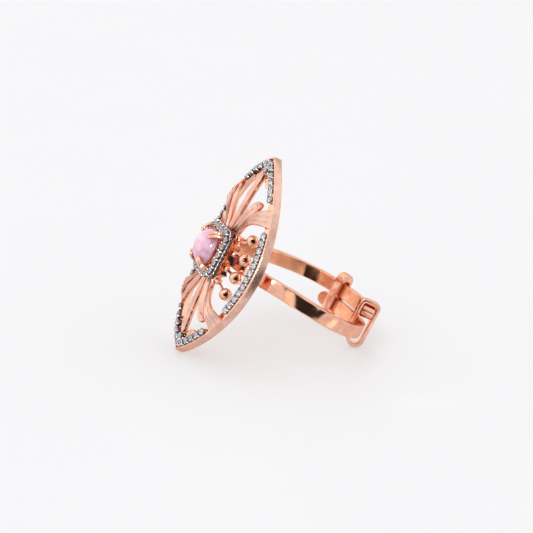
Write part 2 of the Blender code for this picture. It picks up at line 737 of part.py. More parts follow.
def lay_down(ring):
    """Turn and move the ring's empty so that the ring lies on the table with its base centred."""
    bpy.context.view_layer.update()
    graph = bpy.context.evaluated_depsgraph_get()
    pieces = [piece for piece in bpy.data.objects if piece.type == "MESH" and not piece.hide_render]
    corners = []
    for piece in pieces:
        shape = piece.evaluated_get(graph)
        corners.extend(shape.matrix_world @ vertex.co for vertex in shape.data.vertices)
    hull = bmesh.new()
    for corner in corners:
        hull.verts.new(corner)
    result = bmesh.ops.convex_hull(hull, input=hull.verts)
    bmesh.ops.delete(hull, geom=result["geom_interior"], context="VERTS")
    hull.normal_update()
    rough_down = Vector(LYING_DOWN).normalized()
    balance = Vector((0.0, 0.0, BALANCE_HEIGHT * HEAD_HEIGHT * MM))
    down = BVHTree.FromBMesh(hull).ray_cast(balance, rough_down)[1]
    hull.free()
    up = -down
    forward = Vector((0.0, 0.0, -1.0))
    forward = (forward - up * forward.dot(up)).normalized()
    turn = Matrix((forward, up.cross(forward), up))
    turned = [turn @ corner for corner in corners]
    low = [min(point[axis] for point in turned) for axis in range(3)]
    high = [max(point[axis] for point in turned) for axis in range(3)]
    base = Vector(((low[0] + high[0]) / 2, (low[1] + high[1]) / 2, low[2]))
    ring.matrix_world = Matrix.Translation(-base) @ turn.to_4x4()


def build():
    for old in list(bpy.data.objects):
        bpy.data.objects.remove(old, do_unlink=True)
    ring = make_empty("ring", (0.0, 0.0, 0.0), None)
    near_hinge = make_empty("near_hinge", (HINGE_RADIUS, 0.0, 0.0), ring)
    far_hinge = make_empty("far_hinge", (-HINGE_RADIUS, 0.0, 0.0), ring)

    make_piece("rim_frame", rim_shape(), ROSE_GOLD, ring)
    for side, name in ((1, "near_stone_run"), (-1, "far_stone_run")):
        middle_run(name, side, ring)
    for end, name in ((1, "upper_stone_run"), (-1, "lower_stone_run")):
        point_run(name, end, ring)
    petals(ring)
    ball_stems(ring)
    make_piece("gallery", gallery_shape(), POLISHED_GOLD, ring)
    make_piece("halo_setting", halo_setting_shape(), RHODIUM, ring, smooth=False)
    halo_stones(ring)
    basket = make_piece("claw_basket", basket_ring_shape(), POLISHED_GOLD, ring)
    unite(basket, "claws", merge_shapes(claw_shapes()), ring)
    make_piece("cabochon", cabochon_shape(), PINK_STONE, ring)
    make_piece("shank_bow", bow_shape(), POLISHED_GOLD, ring)

    make_piece("near_tail", tail_shape(1, NEAR_TAIL_END), POLISHED_GOLD, near_hinge)
    make_piece("near_tail_loop", loop_shape(**NEAR_LOOP), POLISHED_GOLD, near_hinge)
    make_piece("far_tail", tail_shape(-1, FAR_TAIL_END, swell=FAR_TAIL_SWELL), POLISHED_GOLD, far_hinge)
    make_piece("far_tail_loop", loop_shape(**FAR_LOOP), POLISHED_GOLD, far_hinge)
    lay_down(ring)


build()
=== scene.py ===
"""Looks of the adjustable cocktail ring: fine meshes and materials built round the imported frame.

Shapes are worked out in the ring's own frame, in millimetres:
    x  across the finger, towards the near side
    y  along the finger, towards the upper point of the head
    z  from the centre of the finger hole, up through the head
Angles round the finger start at the bottom of the band and grow towards the near side.
"""

import json
import math
import random

import bmesh
import bpy
from mathutils import Matrix, Vector


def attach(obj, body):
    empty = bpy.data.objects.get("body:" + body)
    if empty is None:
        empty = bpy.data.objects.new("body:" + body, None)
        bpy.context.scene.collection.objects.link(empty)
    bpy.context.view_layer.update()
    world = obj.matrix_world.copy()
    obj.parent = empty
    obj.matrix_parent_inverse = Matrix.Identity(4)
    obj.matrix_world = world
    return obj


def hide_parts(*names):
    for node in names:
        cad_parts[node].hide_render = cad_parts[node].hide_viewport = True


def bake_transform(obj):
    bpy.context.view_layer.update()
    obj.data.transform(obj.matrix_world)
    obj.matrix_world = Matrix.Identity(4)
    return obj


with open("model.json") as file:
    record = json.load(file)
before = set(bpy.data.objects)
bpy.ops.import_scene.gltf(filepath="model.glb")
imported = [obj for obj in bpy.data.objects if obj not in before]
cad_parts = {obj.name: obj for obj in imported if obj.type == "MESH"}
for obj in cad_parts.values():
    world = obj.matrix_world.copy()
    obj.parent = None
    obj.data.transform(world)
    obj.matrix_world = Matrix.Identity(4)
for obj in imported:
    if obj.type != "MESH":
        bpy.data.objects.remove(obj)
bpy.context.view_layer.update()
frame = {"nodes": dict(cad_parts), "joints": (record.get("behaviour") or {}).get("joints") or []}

MM = 0.001
Z_AXIS = Vector((0.0, 0.0, 1.0))

# The ring's frame, from the two hinges at the sides of the finger
HINGES = {joint["name"]: joint for joint in frame["joints"]}
NEAR_HINGE = Vector(HINGES["near_tail_flex"]["pos_m"])
FAR_HINGE = Vector(HINGES["far_tail_flex"]["pos_m"])
CENTRE = (NEAR_HINGE + FAR_HINGE) / 2
SIDE = (NEAR_HINGE - FAR_HINGE).normalized()
ALONG = Vector(HINGES["far_tail_flex"]["axis"]).normalized()
UP = SIDE.cross(ALONG)
RING = Matrix.Translation(CENTRE) @ Matrix((SIDE, ALONG, UP)).transposed().to_4x4() @ Matrix.Scale(MM, 4)


def extent(node):
    """Lowest and highest corner of a CAD node along the ring's own axes, in millimetres."""
    inverse = RING.inverted()
    points = [inverse @ vertex.co for vertex in frame["nodes"][node].data.vertices]
    return [Vector([pick(values) for values in zip(*points)]) for pick in (min, max)]


NAMED_SIDES = ((1, "near"), (-1, "far"))
NAMED_ENDS = ((1, "upper"), (-1, "lower"))

# Head: a pointed oval of two arcs, bent slightly over the finger
RIM_HIGH = extent("rim_frame")[1]
HEAD_HALF_WIDTH = RIM_HIGH.x
HEAD_HALF_LENGTH = RIM_HIGH.y
HEAD_HEIGHT = 11.1
POINT_DROP = 1.2
SIDE_DROP = 2.1
ARC_RADIUS = (HEAD_HALF_LENGTH ** 2 + HEAD_HALF_WIDTH ** 2) / (2 * HEAD_HALF_WIDTH)
ARC_CENTRE = ARC_RADIUS - HEAD_HALF_WIDTH
RIM_WALL = 1.0
RIM_WIDTH = 1.15
RIM_POINT_WIDTH = 0.9  # added over one millimetre, towards each point
RIM_POINT_START = 10.6
RIM_EDGE_RADIUS = 0.06
RIM_STATIONS = 110
ARC_STRETCH = 1.2  # length of the rim's arc for each millimetre along the head
LIP_WIDTH = 0.22
BED_DEPTH = 0.3
TOUCH_GAP = 0.03

# Stones, their cups, and the grains between them
STONE_RADIUS = 0.46
STONE_SHARES = (0.90, 0.94)  # radius of a visible stone, as a share of its seat's
STONE_TILT = 3.0  # most that a stone leans, in degrees
STONE_PITCH_SLACK = 1.25
STONE_SIDES = 8
STONE_LEVELS = ((0.06, -0.24), (1.0, 0.08), (1.0, 0.11), (0.54, 0.25))  # share of the radius, and height
CUP_RADIUS = 0.45
CUP_SIDES = 40
CUP_FOOT_SHARE = 0.80
CUP_EDGE = ((0.83, -0.05), (1.0, 0.0), (1.0, 0.05), (0.95, 0.08), (0.88, 0.08), (0.80, 0.02))
CUP_FUNNEL_SHARE = 0.30
CUP_FUNNEL_LIFT = 0.02
CUP_SKINS = (1, 1, 1, 1, 1, 0, 0, 1)  # painted shade outside, bright in the funnel under the stone
BEAD_RADIUS = 0.14
BEAD_SHARES = (0.9, 1.1)
BEAD_HEIGHT = 0.3
BEAD_FOOT = -0.12
BEAD_SIDES = 10
BEAD_BANDS = 5
BEAD_TOP_ANGLE = 84.0
BEAD_OFFSET = 0.37  # from the line between two stones
BEAD_CLEARANCE = 0.8  # least distance from a third stone, as a share of the seat's radius
MIDDLE_RUN_END = 5.4
POINT_RUN_START = 8.3
POINT_RUN_LAST = 11.6
MIDDLE_RUN_STONES = 12
POINT_RUN_STONES = 5
POINT_STONES = (11.95, 11.08)  # on the head's long axis

# Halo, gallery, cabochon
HALO_LOW, HALO_HIGH = extent("halo_setting")
HALO_CUT = 1.0
HALO_BAND = 1.0
HALO_SIDE_INSET = 0.05
HALO_CHAMFER_SHARE = 0.06  # of the band's width
HALO_FOOT = 0.06
HALO_SHOULDER = 0.22  # depth of the side wall's top, and of the deck inside it
HALO_DECK = 0.16
HALO_STONES = 20
HALO_STONE_LIFT = 0.12
HALO_STONE_FOOT = -0.3
HALO_FLUTES = 40  # small flutes round the side of the frame
HALO_FLUTE_DEPTH = 1.6  # in chamfers
HALO_FLUTE_STEPS = 6
GALLERY_LOW, GALLERY_HIGH = extent("gallery")
GALLERY_CUT = 1.0
GALLERY_WALL = 0.6
GALLERY_FOOT = 0.08
GALLERY_INSET = 0.12  # of the groove, the foot and the top edge
GALLERY_RAIL = (  # set in or not, and depth below the top
    (False, 0.45), (True, 0.38), (True, 0.3), (False, 0.22), (False, 0.06), (True, 0.0),
)
GALLERY_SCALLOPS = 12
SCALLOP_STEPS = 16
SCALLOP_DEPTH = 0.3
CABOCHON_LOW, CABOCHON_HIGH = extent("cabochon")
CABOCHON_POWER = 2.6
CABOCHON_FOOT_SHARES = (0.8, 0.93)
CABOCHON_GIRDLE = 0.15
CABOCHON_STEPS = 36
CABOCHON_TOP_ANGLE = 89.0
CUSHION_SIDES = 96
BASKET_DROP = 0.1
BASKET_FOOT = 0.82  # shares of the cabochon's half width
BASKET_WAIST = 0.86
BASKET_SHOULDER = 0.93
BASKET_WALL = 0.35
BASKET_BEND = 0.3  # height of the waist, and depth of the shoulder
BASKET_LIP = 0.1
CLAW_RADIUS = 0.2
CLAW_SPACING = 0.42
CLAW_PATH = ((1.3, 1.44, 0.15), (2.2, 2.38, 1.15), (1.3, 1.55, 2.17))
CLAW_STEPS = 14
CLAW_TIP_ANGLES = (25, 50, 72, 86)
ROD_SIDES = 16

# Petals
PETAL_BASE_Y = GALLERY_HIGH.y + TOUCH_GAP
PETALS = {
    "long": {"flutes": 2, "depth": 0.6, "round_end": 0.12, "rise": 0.12, "dip": 0.0, "pit": None},
    "short": {"flutes": 2, "depth": 0.55, "round_end": 0.22, "rise": 0.4, "dip": 0.0, "pit": 0.86},
    "broad": {"flutes": 3, "depth": 0.45, "round_end": 0.0, "rise": 0.75, "dip": 0.5, "pit": None},
}
PETAL_STATIONS = 56
PETAL_RISE_END = 0.75
BROAD_PETAL_LOW = 6.1
PETAL_BASE_LIFT = -0.05
PETAL_EDGE = 0.05
FLUTE_STEPS = 10
FLUTE_DEPTH = 0.16
FLUTE_POWER = 0.95
FLUTE_FADE = 0.45  # lost where a broad petal dips to the rim
FADE_START = 0.55
FADE_LENGTH = 0.35
END_CROWDING = 1.6  # brings the stations closer together towards a round end
END_PINCH = 0.93
PETAL_SIDE = (  # round the underside: share of the width, and share of the depth
    (1.0, 0.12), (1.03, 0.35), (1.03, 0.6), (0.98, 0.85), (0.88, 1.0), (0.5, 1.0),
    (0.12, 1.0), (0.02, 0.85), (-0.03, 0.6), (-0.03, 0.35), (0.0, 0.12),
)
PIT_RADIUS = 0.2
PIT_DEPTH = 0.3

# Balls on stems. A section's power makes it round at 2 and square as it grows
BALL_RADIUS = 0.75
BALL_STEPS = 26
STEM_SIDES = 32
STEM_RADIUS = 0.2
STEM_WAIST = 0.85  # shares of the stem's radius
STEM_NECK = 0.9
STEM_WAIST_PLACE = 0.3  # on the way from the rim to the ball's centre
STEM_FLARE = 0.12
STUB_RADIUS = 0.34
STUB_STATIONS = ((0.0, 1.0, 5.0), (0.5, 1.0, 5.0), (0.56, 0.85, 4.0))  # distance, share of radius, power
NECK_RADIUS = 0.16
NECK_START = 0.6
STEM_LEVEL = -0.6
BALL_PLANS = {
    "outer": {"start": (2.42, 2.72), "ball_x": 4.8, "rim_y": 4.08},
    "inner": {"start": (2.8, 0.95), "ball_x": 5.15, "rim_y": 1.42},
}

# Band and loops
FINGER_RADIUS = 8.6
BAND_HALF_WIDTH = 0.84
BAND_EDGE_RADIUS = 0.16
BAND_STEPS = 150
BAND_THICK_TOP = 0.9
BAND_THICK_SIDE = 1.3
BAND_THICK_BACK = 1.0
THINNING_TO_TOP = (100.0, 60.0)  # degrees where it starts, and degrees that it takes
THINNING_TO_BACK = (85.0, 30.0)
NEAR_TAIL_SHIFT = -1.3
FAR_TAIL_SHIFT = 0.65
SHIFT_START = 130.0
SHIFT_END = 40.0
NEAR_TAIL_END = -44.0
FAR_TAIL_END = -17.5
TAIL_END_TURNS = (15.0, 30.0, 45.0, 58.0, 70.0, 80.0)
FAR_TAIL_SWELL = 0.48  # the far tail's end is thicker, outwards
SWELL_TURN = 8.0
LOOP_WIDTH = 1.15
LOOP_THICKNESS = 0.45
LOOP_EDGE_RADIUS = 0.1
LOOP_ARC_STEPS = 16
SLIDE_GAP = 0.13
LOOP_BOTTOM = -3.9
LOOP_STRAIGHT_END = -2.3
KNOB_REACH = 1.3  # the knob grows over one millimetre, from this far below the top
KNOB_SWELL = 0.06
KNOB_EDGE_RADIUS = 0.08
FILL_REACH = 1.0
FILL_LENGTH = 0.5
SLIM_LENGTH = 1.6  # the loop slims from this far below its middle, over the same length
SLIM_SHARE = 0.25
NEAR_LOOP = {"angle": -31.0, "top": 2.65, "top_corner": 0.8, "slack": 0.0, "lean": 0.2, "fill": 0.38}
FAR_LOOP = {"angle": 13.0, "top": 2.05, "top_corner": 0.5, "slack": 0.4, "lean": 0.4, "fill": 0.0}


# -------------------- materials

ROSE_EDGE = (1.0, 0.80, 0.70, 1.0)  # tint of a metal's reflections at a glancing angle
WHITE_EDGE = (1.0, 1.0, 1.0, 1.0)
CLOUD_SCALE = 0.9
STREAK_SCALE = 1.6
WAVE_SCALE = 0.75


def connect(tree, node, inputs):
    """Sets a node's inputs to values, or joins them to sockets."""
    for key, value in inputs.items():
        if isinstance(value, bpy.types.NodeSocket):
            tree.links.new(value, node.inputs[key])
        else:
            node.inputs[key].default_value = value


def add_node(tree, kind, inputs=None, **settings):
    node = tree.nodes.new(kind)
    for name, value in settings.items():
        setattr(node, name, value)
    connect(tree, node, inputs or {})
    return node


def calculated(tree, operation, *values):
    return add_node(tree, "ShaderNodeMath", dict(enumerate(values)), operation=operation).outputs["Value"]


def attribute(tree, name):
    return add_node(tree, "ShaderNodeAttribute", attribute_name=name).outputs["Vector"]


def new_material(name):
    material = bpy.data.materials.new(name)
    material.use_nodes = True
    tree = material.node_tree
    return material, tree, tree.nodes["Principled BSDF"]


def noise_of(tree, vector, scale, stretch=(1, 1, 1), detail=3.0, roughness=0.55):
    """Noise of a vector, scaled apart for each axis by stretch."""
    mapping = add_node(tree, "ShaderNodeMapping", {"Vector": vector, "Scale": stretch})
    settings = {"Vector": mapping.outputs["Vector"], "Scale": scale, "Detail": detail, "Roughness": roughness}
    return add_node(tree, "ShaderNodeTexNoise", settings).outputs["Fac"]


def ranged(tree, value, low, high, start=0.3, end=0.7):
    """A value between start and end, brought to between low and high."""
    inputs = {"Value": value, "From Min": start, "From Max": end, "To Min": low, "To Max": high}
    return add_node(tree, "ShaderNodeMapRange", inputs, clamp=True).outputs["Result"]


def mixed_colour(tree, factor, first, second):
    node = add_node(tree, "ShaderNodeMix", {"Factor": factor}, data_type="RGBA")
    pair = [socket for socket in node.inputs if socket.type == "RGBA"]
    for socket, colour in zip(pair, (first, second)):
        if isinstance(colour, bpy.types.NodeSocket):
            tree.links.new(colour, socket)
        else:
            socket.default_value = (*colour, 1.0)
    return next(socket for socket in node.outputs if socket.type == "RGBA")


def plated_metal(name, colours, roughness, grain_height, wave_height, grain=(0.5, 7.0, 7.0), edge=ROSE_EDGE):
    """Plated metal: cloudy tone, streaked grain along the piece, and the slow waves of a cast surface.

    colours are two tones, roughness is a low and a high value, heights are in millimetres, and edge is
    the tint of reflections at a glancing angle.
    """
    material, tree, shader = new_material(name)
    place = attribute(tree, "place")
    clouds = noise_of(tree, place, CLOUD_SCALE)
    streaks = noise_of(tree, attribute(tree, "flow"), STREAK_SCALE, grain, detail=4.0)
    waves = noise_of(tree, place, WAVE_SCALE, detail=1.5)
    tone = calculated(tree, "ADD", clouds, streaks)
    inputs = {"Height": streaks, "Distance": grain_height * MM, "Strength": 1.0}
    fine = add_node(tree, "ShaderNodeBump", inputs).outputs["Normal"]
    inputs = {"Height": waves, "Distance": wave_height * MM, "Strength": 1.0, "Normal": fine}
    connect(tree, shader, {
        "Base Color": mixed_colour(tree, ranged(tree, tone, 0, 1, 0.75, 1.25), *colours),
        "Roughness": ranged(tree, streaks, *roughness),
        "Normal": add_node(tree, "ShaderNodeBump", inputs).outputs["Normal"],
        "Metallic": 1.0,
        "Specular Tint": edge,
    })
    return material


def stone_material():
    """Clear high-index stone with faint grey clouds in its tone."""
    material, tree, shader = new_material("clear_stone")
    clouds = noise_of(tree, attribute(tree, "place"), 2.5)
    connect(tree, shader, {
        "Base Color": mixed_colour(tree, ranged(tree, clouds, 0, 1), (0.98, 0.97, 0.99), (0.84, 0.82, 0.88)),
        "Transmission Weight": 0.85,
        "IOR": 2.15,
        "Roughness": 0.0,
    })
    return material


def cabochon_material():
    """Milky pink stone: soft clouds of violet and white under a polished surface."""
    material, tree, shader = new_material("pink_stone")
    place = attribute(tree, "place")
    clouds = noise_of(tree, place, 0.55, (1, 1, 0.7), detail=2.0)
    veins = noise_of(tree, place, 1.3, (1.6, 0.7, 1), detail=4.0)
    pink = mixed_colour(tree, ranged(tree, clouds, 0, 1, 0.40, 0.62), (0.92, 0.59, 0.73), (0.66, 0.32, 0.46))
    connect(tree, shader, {
        "Base Color": mixed_colour(tree, ranged(tree, veins, 0, 0.55, 0.5, 0.75), pink, (0.88, 0.68, 0.78)),
        "Roughness": ranged(tree, veins, 0.10, 0.17),
        "Subsurface Weight": 0.6,
        "Subsurface Radius": (1.0, 0.6, 0.8),
        "Subsurface Scale": 0.6 * MM,
        "Coat Weight": 1.0,
        "Coat Roughness": 0.02,
    })
    return material


SATIN = plated_metal(
    "satin_rose_gold", ((0.82, 0.55, 0.46), (0.66, 0.37, 0.29)), (0.20, 0.36),
    grain_height=0.018, wave_height=0.04, grain=(1.2, 6.0, 6.0),
)
POLISHED = plated_metal(
    "polished_rose_gold", ((0.92, 0.55, 0.40), (0.86, 0.47, 0.33)), (0.03, 0.09),
    grain_height=0.001, wave_height=0.02,
)
BAND_METAL = plated_metal(
    "band_rose_gold", ((0.94, 0.54, 0.40), (0.78, 0.37, 0.25)), (0.06, 0.15),
    grain_height=0.0065, wave_height=0.02,
)
# Finger side of the band: deeper orange painted in for the arms' reflections of each other, over a stronger
# grain of its own.
BAND_INSIDE_PAINTED_REFLECTION = plated_metal(
    "band_inside_painted_reflection", ((0.94, 0.49, 0.30), (0.74, 0.30, 0.16)), (0.08, 0.18),
    grain_height=0.016, wave_height=0.02,
)
RHODIUM = plated_metal(
    "white_plate", ((0.93, 0.91, 0.94), (0.66, 0.64, 0.68)), (0.05, 0.14),
    grain_height=0.002, wave_height=0.03, edge=WHITE_EDGE,
)
# Near-black plate: painted shade in the gaps round the stones, on the cups' outsides and most of the halo
# frame.
PAINTED_SHADE_PLATE = plated_metal(
    "painted_shade_plate", ((0.26, 0.24, 0.26), (0.10, 0.09, 0.10)), (0.16, 0.30),
    grain_height=0.002, wave_height=0.02, edge=WHITE_EDGE,
)
STONE = stone_material()
CABOCHON = cabochon_material()


# -------------------- shapes

CORNER_SHARE = 0.45  # most of an edge that one rounded corner takes


class Shape:
    """Points, faces, the material number of each face and the flow coordinates of each point."""

    def __init__(self):
        self.points = []
        self.faces = []
        self.skins = []
        self.flow = []

    def loft(self, rings, closed=False, skins=None, flow=None, cap_skin=0):
        """Quads through rings of points; skins has the material of the strip after each section point.

        flow gives each ring's distance along the piece; the section's own length is the second coordinate.
        """
        start = len(self.points)
        count = len(rings[0])
        skins = skins or [0] * count
        for span in range(len(rings) if closed else len(rings) - 1):
            low = start + span * count
            high = start + ((span + 1) % len(rings)) * count
            for j in range(count):
                k = (j + 1) % count
                self.faces.append((low + j, low + k, high + k, high + j))
                self.skins.append(skins[j])
        if not closed:
            last = start + (len(rings) - 1) * count
            self.faces.append(tuple(reversed(range(start, start + count))))
            self.faces.append(tuple(range(last, last + count)))
            self.skins.extend((cap_skin, cap_skin))
        distance = 0.0
        for index, ring in enumerate(rings):
            if index:
                distance += (Vector(ring[0]) - Vector(rings[index - 1][0])).length
            across = 0.0
            for j, point in enumerate(ring):
                if j:
                    across += (Vector(point) - Vector(ring[j - 1])).length
                self.points.append(tuple(point))
                self.flow.append((flow[index] if flow else distance, across, 0.0))


def lofted(rings, **options):
    shape = Shape()
    shape.loft(rings, **options)
    return shape


def add_object(name, data):
    added = bpy.data.objects.new(name, data)
    bpy.context.scene.collection.objects.link(added)
    return added


def make_piece(name, shape, skins, nodes, body="head", smooth=True, sharp=38.0):
    """A mesh object from a shape in the ring's frame, with its materials as skins.

    It rides on a body unless body is None.
    """
    mesh = bpy.data.meshes.new(name)
    mesh.from_pydata(shape.points, [], shape.faces)
    for skin in skins:
        mesh.materials.append(skin)
    mesh.polygons.foreach_set("material_index", shape.skins)
    for key, vectors in (("flow", shape.flow), ("place", shape.points)):
        layer = mesh.attributes.new(key, "FLOAT_VECTOR", "POINT")
        layer.data.foreach_set("vector", [value for vector in vectors for value in vector])
    work = bmesh.new()
    work.from_mesh(mesh)
    bmesh.ops.recalc_face_normals(work, faces=work.faces)
    work.to_mesh(mesh)
    work.free()
    mesh.transform(RING)
    if smooth:
        mesh.shade_smooth()
        mesh.set_sharp_from_angle(angle=math.radians(sharp))
    piece = add_object(name, mesh)
    if body:
        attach(piece, body)
    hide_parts(*nodes)
    return piece


def smooth_step(value):
    value = min(max(value, 0.0), 1.0)
    return value * value * (3.0 - 2.0 * value)


def soften(corners, radius, skins=None, steps=3):
    """A polygon with each corner rounded by a small curve. Skins, one for each edge, come back to match."""
    corners = [Vector(corner) for corner in corners]
    points = []
    numbers = []
    for index, corner in enumerate(corners):
        before = corners[index - 1] - corner
        after = corners[(index + 1) % len(corners)] - corner
        reach = min(radius, before.length * CORNER_SHARE, after.length * CORNER_SHARE)
        first = corner + before.normalized() * reach
        last = corner + after.normalized() * reach
        for step in range(steps + 1):
            t = step / steps
            points.append(first.lerp(corner, t).lerp(corner.lerp(last, t), t))
            numbers.append(skins[index] if skins else 0)
    return points, numbers


def rectangle(half_width, low, high):
    return (-half_width, low), (-half_width, high), (half_width, high), (half_width, low)


def bezier(points, t):
    points = [Vector(point) for point in points]
    while len(points) > 1:
        points = [points[i].lerp(points[i + 1], t) for i in range(len(points) - 1)]
    return points[0]


# -------------------- head

def head_z(x, y):
    """Height of the head's front surface."""
    return HEAD_HEIGHT - SIDE_DROP * (x / HEAD_HALF_WIDTH) ** 2 - POINT_DROP * (y / HEAD_HALF_LENGTH) ** 2


def head_normal(x, y):
    slope_x = -2.0 * SIDE_DROP * x / HEAD_HALF_WIDTH ** 2
    slope_y = -2.0 * POINT_DROP * y / HEAD_HALF_LENGTH ** 2
    return Vector((-slope_x, -slope_y, 1.0)).normalized()


def outline_point(side, inset, turn):
    """Point on the pointed oval, moved in by inset; turn runs from -1 at the lower point to 1."""
    radius = ARC_RADIUS - inset
    angle = turn * math.acos(ARC_CENTRE / radius)
    return side * (radius * math.cos(angle) - ARC_CENTRE), radius * math.sin(angle)


def turn_at(inset, y):
    radius = ARC_RADIUS - inset
    return math.asin(y / radius) / math.acos(ARC_CENTRE / radius)


def rim_inner_inset(y):
    return RIM_WIDTH + RIM_POINT_WIDTH * smooth_step(abs(y) - RIM_POINT_START)


def rim():
    """Frame of the head: satin outer wall, bright lip, sunk bed and polished inner wall."""
    starts = [2.0 * i / RIM_STATIONS for i in range(RIM_STATIONS)]
    places = [(side, side * (-1.0 + start)) for side in (1, -1) for start in starts]
    rings = []
    flow = []
    for side, turn in places:
        inner = rim_inner_inset(outline_point(side, 0.0, turn)[1])
        corners = (
            (0.0, 0.0), (0.0, -RIM_WALL), (inner, -RIM_WALL),
            (inner, -BED_DEPTH), (LIP_WIDTH, -BED_DEPTH), (LIP_WIDTH, 0.0),
        )
        section, skins = soften(corners, RIM_EDGE_RADIUS, skins=(0, 1, 1, 1, 1, 1))
        ring = []
        for inset, level in section:
            x, y = outline_point(side, inset, turn)
            ring.append((x, y, head_z(x, y) + level))
        rings.append(ring)
        flow.append(turn * HEAD_HALF_LENGTH * ARC_STRETCH)
    shape = lofted(rings, closed=True, skins=skins, flow=flow)
    make_piece("rim", shape, (SATIN, POLISHED), ["rim_frame"])


# -------------------- stones

def round_ring(centre, frame_at, radius, level, sides, spin=0.0):
    """Points on a circle round the normal of a seat, at a height above its centre."""
    ring = []
    for side in range(sides):
        angle = math.tau * side / sides + spin
        ring.append(centre + frame_at @ Vector((radius * math.cos(angle), radius * math.sin(angle), level)))
    return ring


def brilliant(shape, centre, frame_at, radius, spin):
    """Round stone with large facets: table, eight crown facets, girdle and eight long facets below."""
    rings = []
    for share, level in STONE_LEVELS:
        rings.append(round_ring(centre, frame_at, share * radius, level, STONE_SIDES, spin))
    shape.loft(rings)


def cup(shape, centre, frame_at, neighbours, low):
    """Cast cup of one stone: a funnel inside, and a flared outside cut where it meets the next cups."""
    profile = [(CUP_FOOT_SHARE, low), *CUP_EDGE, (CUP_FUNNEL_SHARE, low + CUP_FUNNEL_LIFT)]
    rings = []
    for side in range(CUP_SIDES):
        angle = math.tau * side / CUP_SIDES
        limit = CUP_RADIUS
        for offset in neighbours:
            distance = offset.length
            lean = (offset.x * math.cos(angle) + offset.y * math.sin(angle)) / distance
            if lean > 0.0:
                limit = min(limit, 0.5 * distance / lean)
        ring = []
        for share, level in profile:
            reach = min(share * CUP_RADIUS, limit)
            ring.append(centre + frame_at @ Vector((reach * math.cos(angle), reach * math.sin(angle), level)))
        rings.append(ring)
    shape.loft(rings, closed=True, skins=CUP_SKINS)


def bead(shape, centre, frame_at, radius):
    """Small round-topped grain that holds two stones."""
    rings = [round_ring(centre, frame_at, radius, BEAD_FOOT, BEAD_SIDES)]
    for band in range(BEAD_BANDS):
        angle = math.radians(BEAD_TOP_ANGLE) * band / (BEAD_BANDS - 1)
        reach = radius * math.cos(angle)
        rings.append(round_ring(centre, frame_at, reach, BEAD_HEIGHT * math.sin(angle), BEAD_SIDES))
    shape.loft(rings)


def stone_setting(name, spots, nodes, low, seed):
    """Cups, grains and stones on a list of (centre, normal); cups are cut where they meet."""
    dice = random.Random(seed)
    cups = Shape()
    beads = Shape()
    stones = Shape()
    reach = 2 * STONE_RADIUS * STONE_PITCH_SLACK
    for index, (centre, normal) in enumerate(spots):
        frame_at = normal.to_track_quat("Z", "Y").to_matrix()
        flat = frame_at.transposed()
        near = [(other, flat @ (spot - centre)) for other, (spot, _) in enumerate(spots) if other != index]
        near = [(other, offset) for other, offset in near if offset.length < reach]
        cup(cups, centre, frame_at, [offset for _, offset in near], low)
        for other, offset in near:
            if other < index:
                continue
            across = Vector((-offset.y, offset.x, 0.0)).normalized()
            for sign in (-1, 1):
                spot = centre + frame_at @ (offset / 2 + across * sign * BEAD_OFFSET)
                if all((spot - third).length > STONE_RADIUS * BEAD_CLEARANCE for third, _ in spots):
                    bead(beads, spot, frame_at, BEAD_RADIUS * dice.uniform(*BEAD_SHARES))
        leans = [math.radians(dice.uniform(-STONE_TILT, STONE_TILT)) for _ in range(2)]
        tilt = Matrix.Rotation(leans[0], 3, "X") @ Matrix.Rotation(leans[1], 3, "Y")
        radius = STONE_RADIUS * dice.uniform(*STONE_SHARES)
        brilliant(stones, centre, frame_at @ tilt, radius, spin=dice.uniform(0, 1))
    # The cups' outsides and tops take the painted shade plate.
    make_piece(name + "_cups", cups, (RHODIUM, PAINTED_SHADE_PLATE), nodes, sharp=50.0)
    make_piece(name + "_grains", beads, (RHODIUM,), nodes, sharp=70.0)
    make_piece(name + "_stones", stones, (STONE,), nodes, smooth=False)


def head_spot(x, y):
    """Centre and normal of a stone on the rim, level with the lip."""
    return Vector((x, y, head_z(x, y))), head_normal(x, y)


def rim_stones():
    """Four runs: one along the middle of each side, and one round each point."""
    inset = (LIP_WIDTH + RIM_WIDTH) / 2
    low = -BED_DEPTH + TOUCH_GAP
    reach = turn_at(inset, MIDDLE_RUN_END - STONE_RADIUS)
    for side, name in NAMED_SIDES:
        turns = [reach * (2.0 * i / (MIDDLE_RUN_STONES - 1) - 1.0) for i in range(MIDDLE_RUN_STONES)]
        spots = [head_spot(*outline_point(side, inset, turn)) for turn in turns]
        stone_setting(name + "_run", spots, [name + "_stone_run"], low, seed=side + 5)
    first = turn_at(inset, POINT_RUN_START + STONE_RADIUS)
    last = turn_at(inset, POINT_RUN_LAST)
    for end, name in NAMED_ENDS:
        spots = [head_spot(0.0, end * y) for y in POINT_STONES]
        for i in range(POINT_RUN_STONES):
            turn = end * (first + (last - first) * i / (POINT_RUN_STONES - 1))
            spots.extend(head_spot(*outline_point(side, inset, turn)) for side in (1, -1))
        stone_setting(name + "_run", spots, [name + "_stone_run"], low, seed=end + 15)


def cut_corner_rectangle(half_x, half_y, cut):
    return [
        (half_x, -half_y + cut), (half_x, half_y - cut), (half_x - cut, half_y), (cut - half_x, half_y),
        (-half_x, half_y - cut), (-half_x, cut - half_y), (cut - half_x, -half_y), (half_x - cut, -half_y),
    ]


def spread_along(corners, count):
    """Points at equal distances along a closed outline."""
    lengths = [math.dist(corners[i], corners[(i + 1) % len(corners)]) for i in range(len(corners))]
    total = sum(lengths)
    points = []
    for index in range(count):
        left = total * index / count
        edge = 0
        while left > lengths[edge]:
            left -= lengths[edge]
            edge += 1
        first = Vector(corners[edge])
        last = Vector(corners[(edge + 1) % len(corners)])
        points.append(first.lerp(last, left / lengths[edge]))
    return points


def halo_outline(inset):
    """The halo's outline, moved in by inset."""
    cut = HALO_CUT - inset * (2.0 - math.sqrt(2.0))
    return cut_corner_rectangle(HALO_HIGH.x - inset, HALO_HIGH.y - inset, cut)


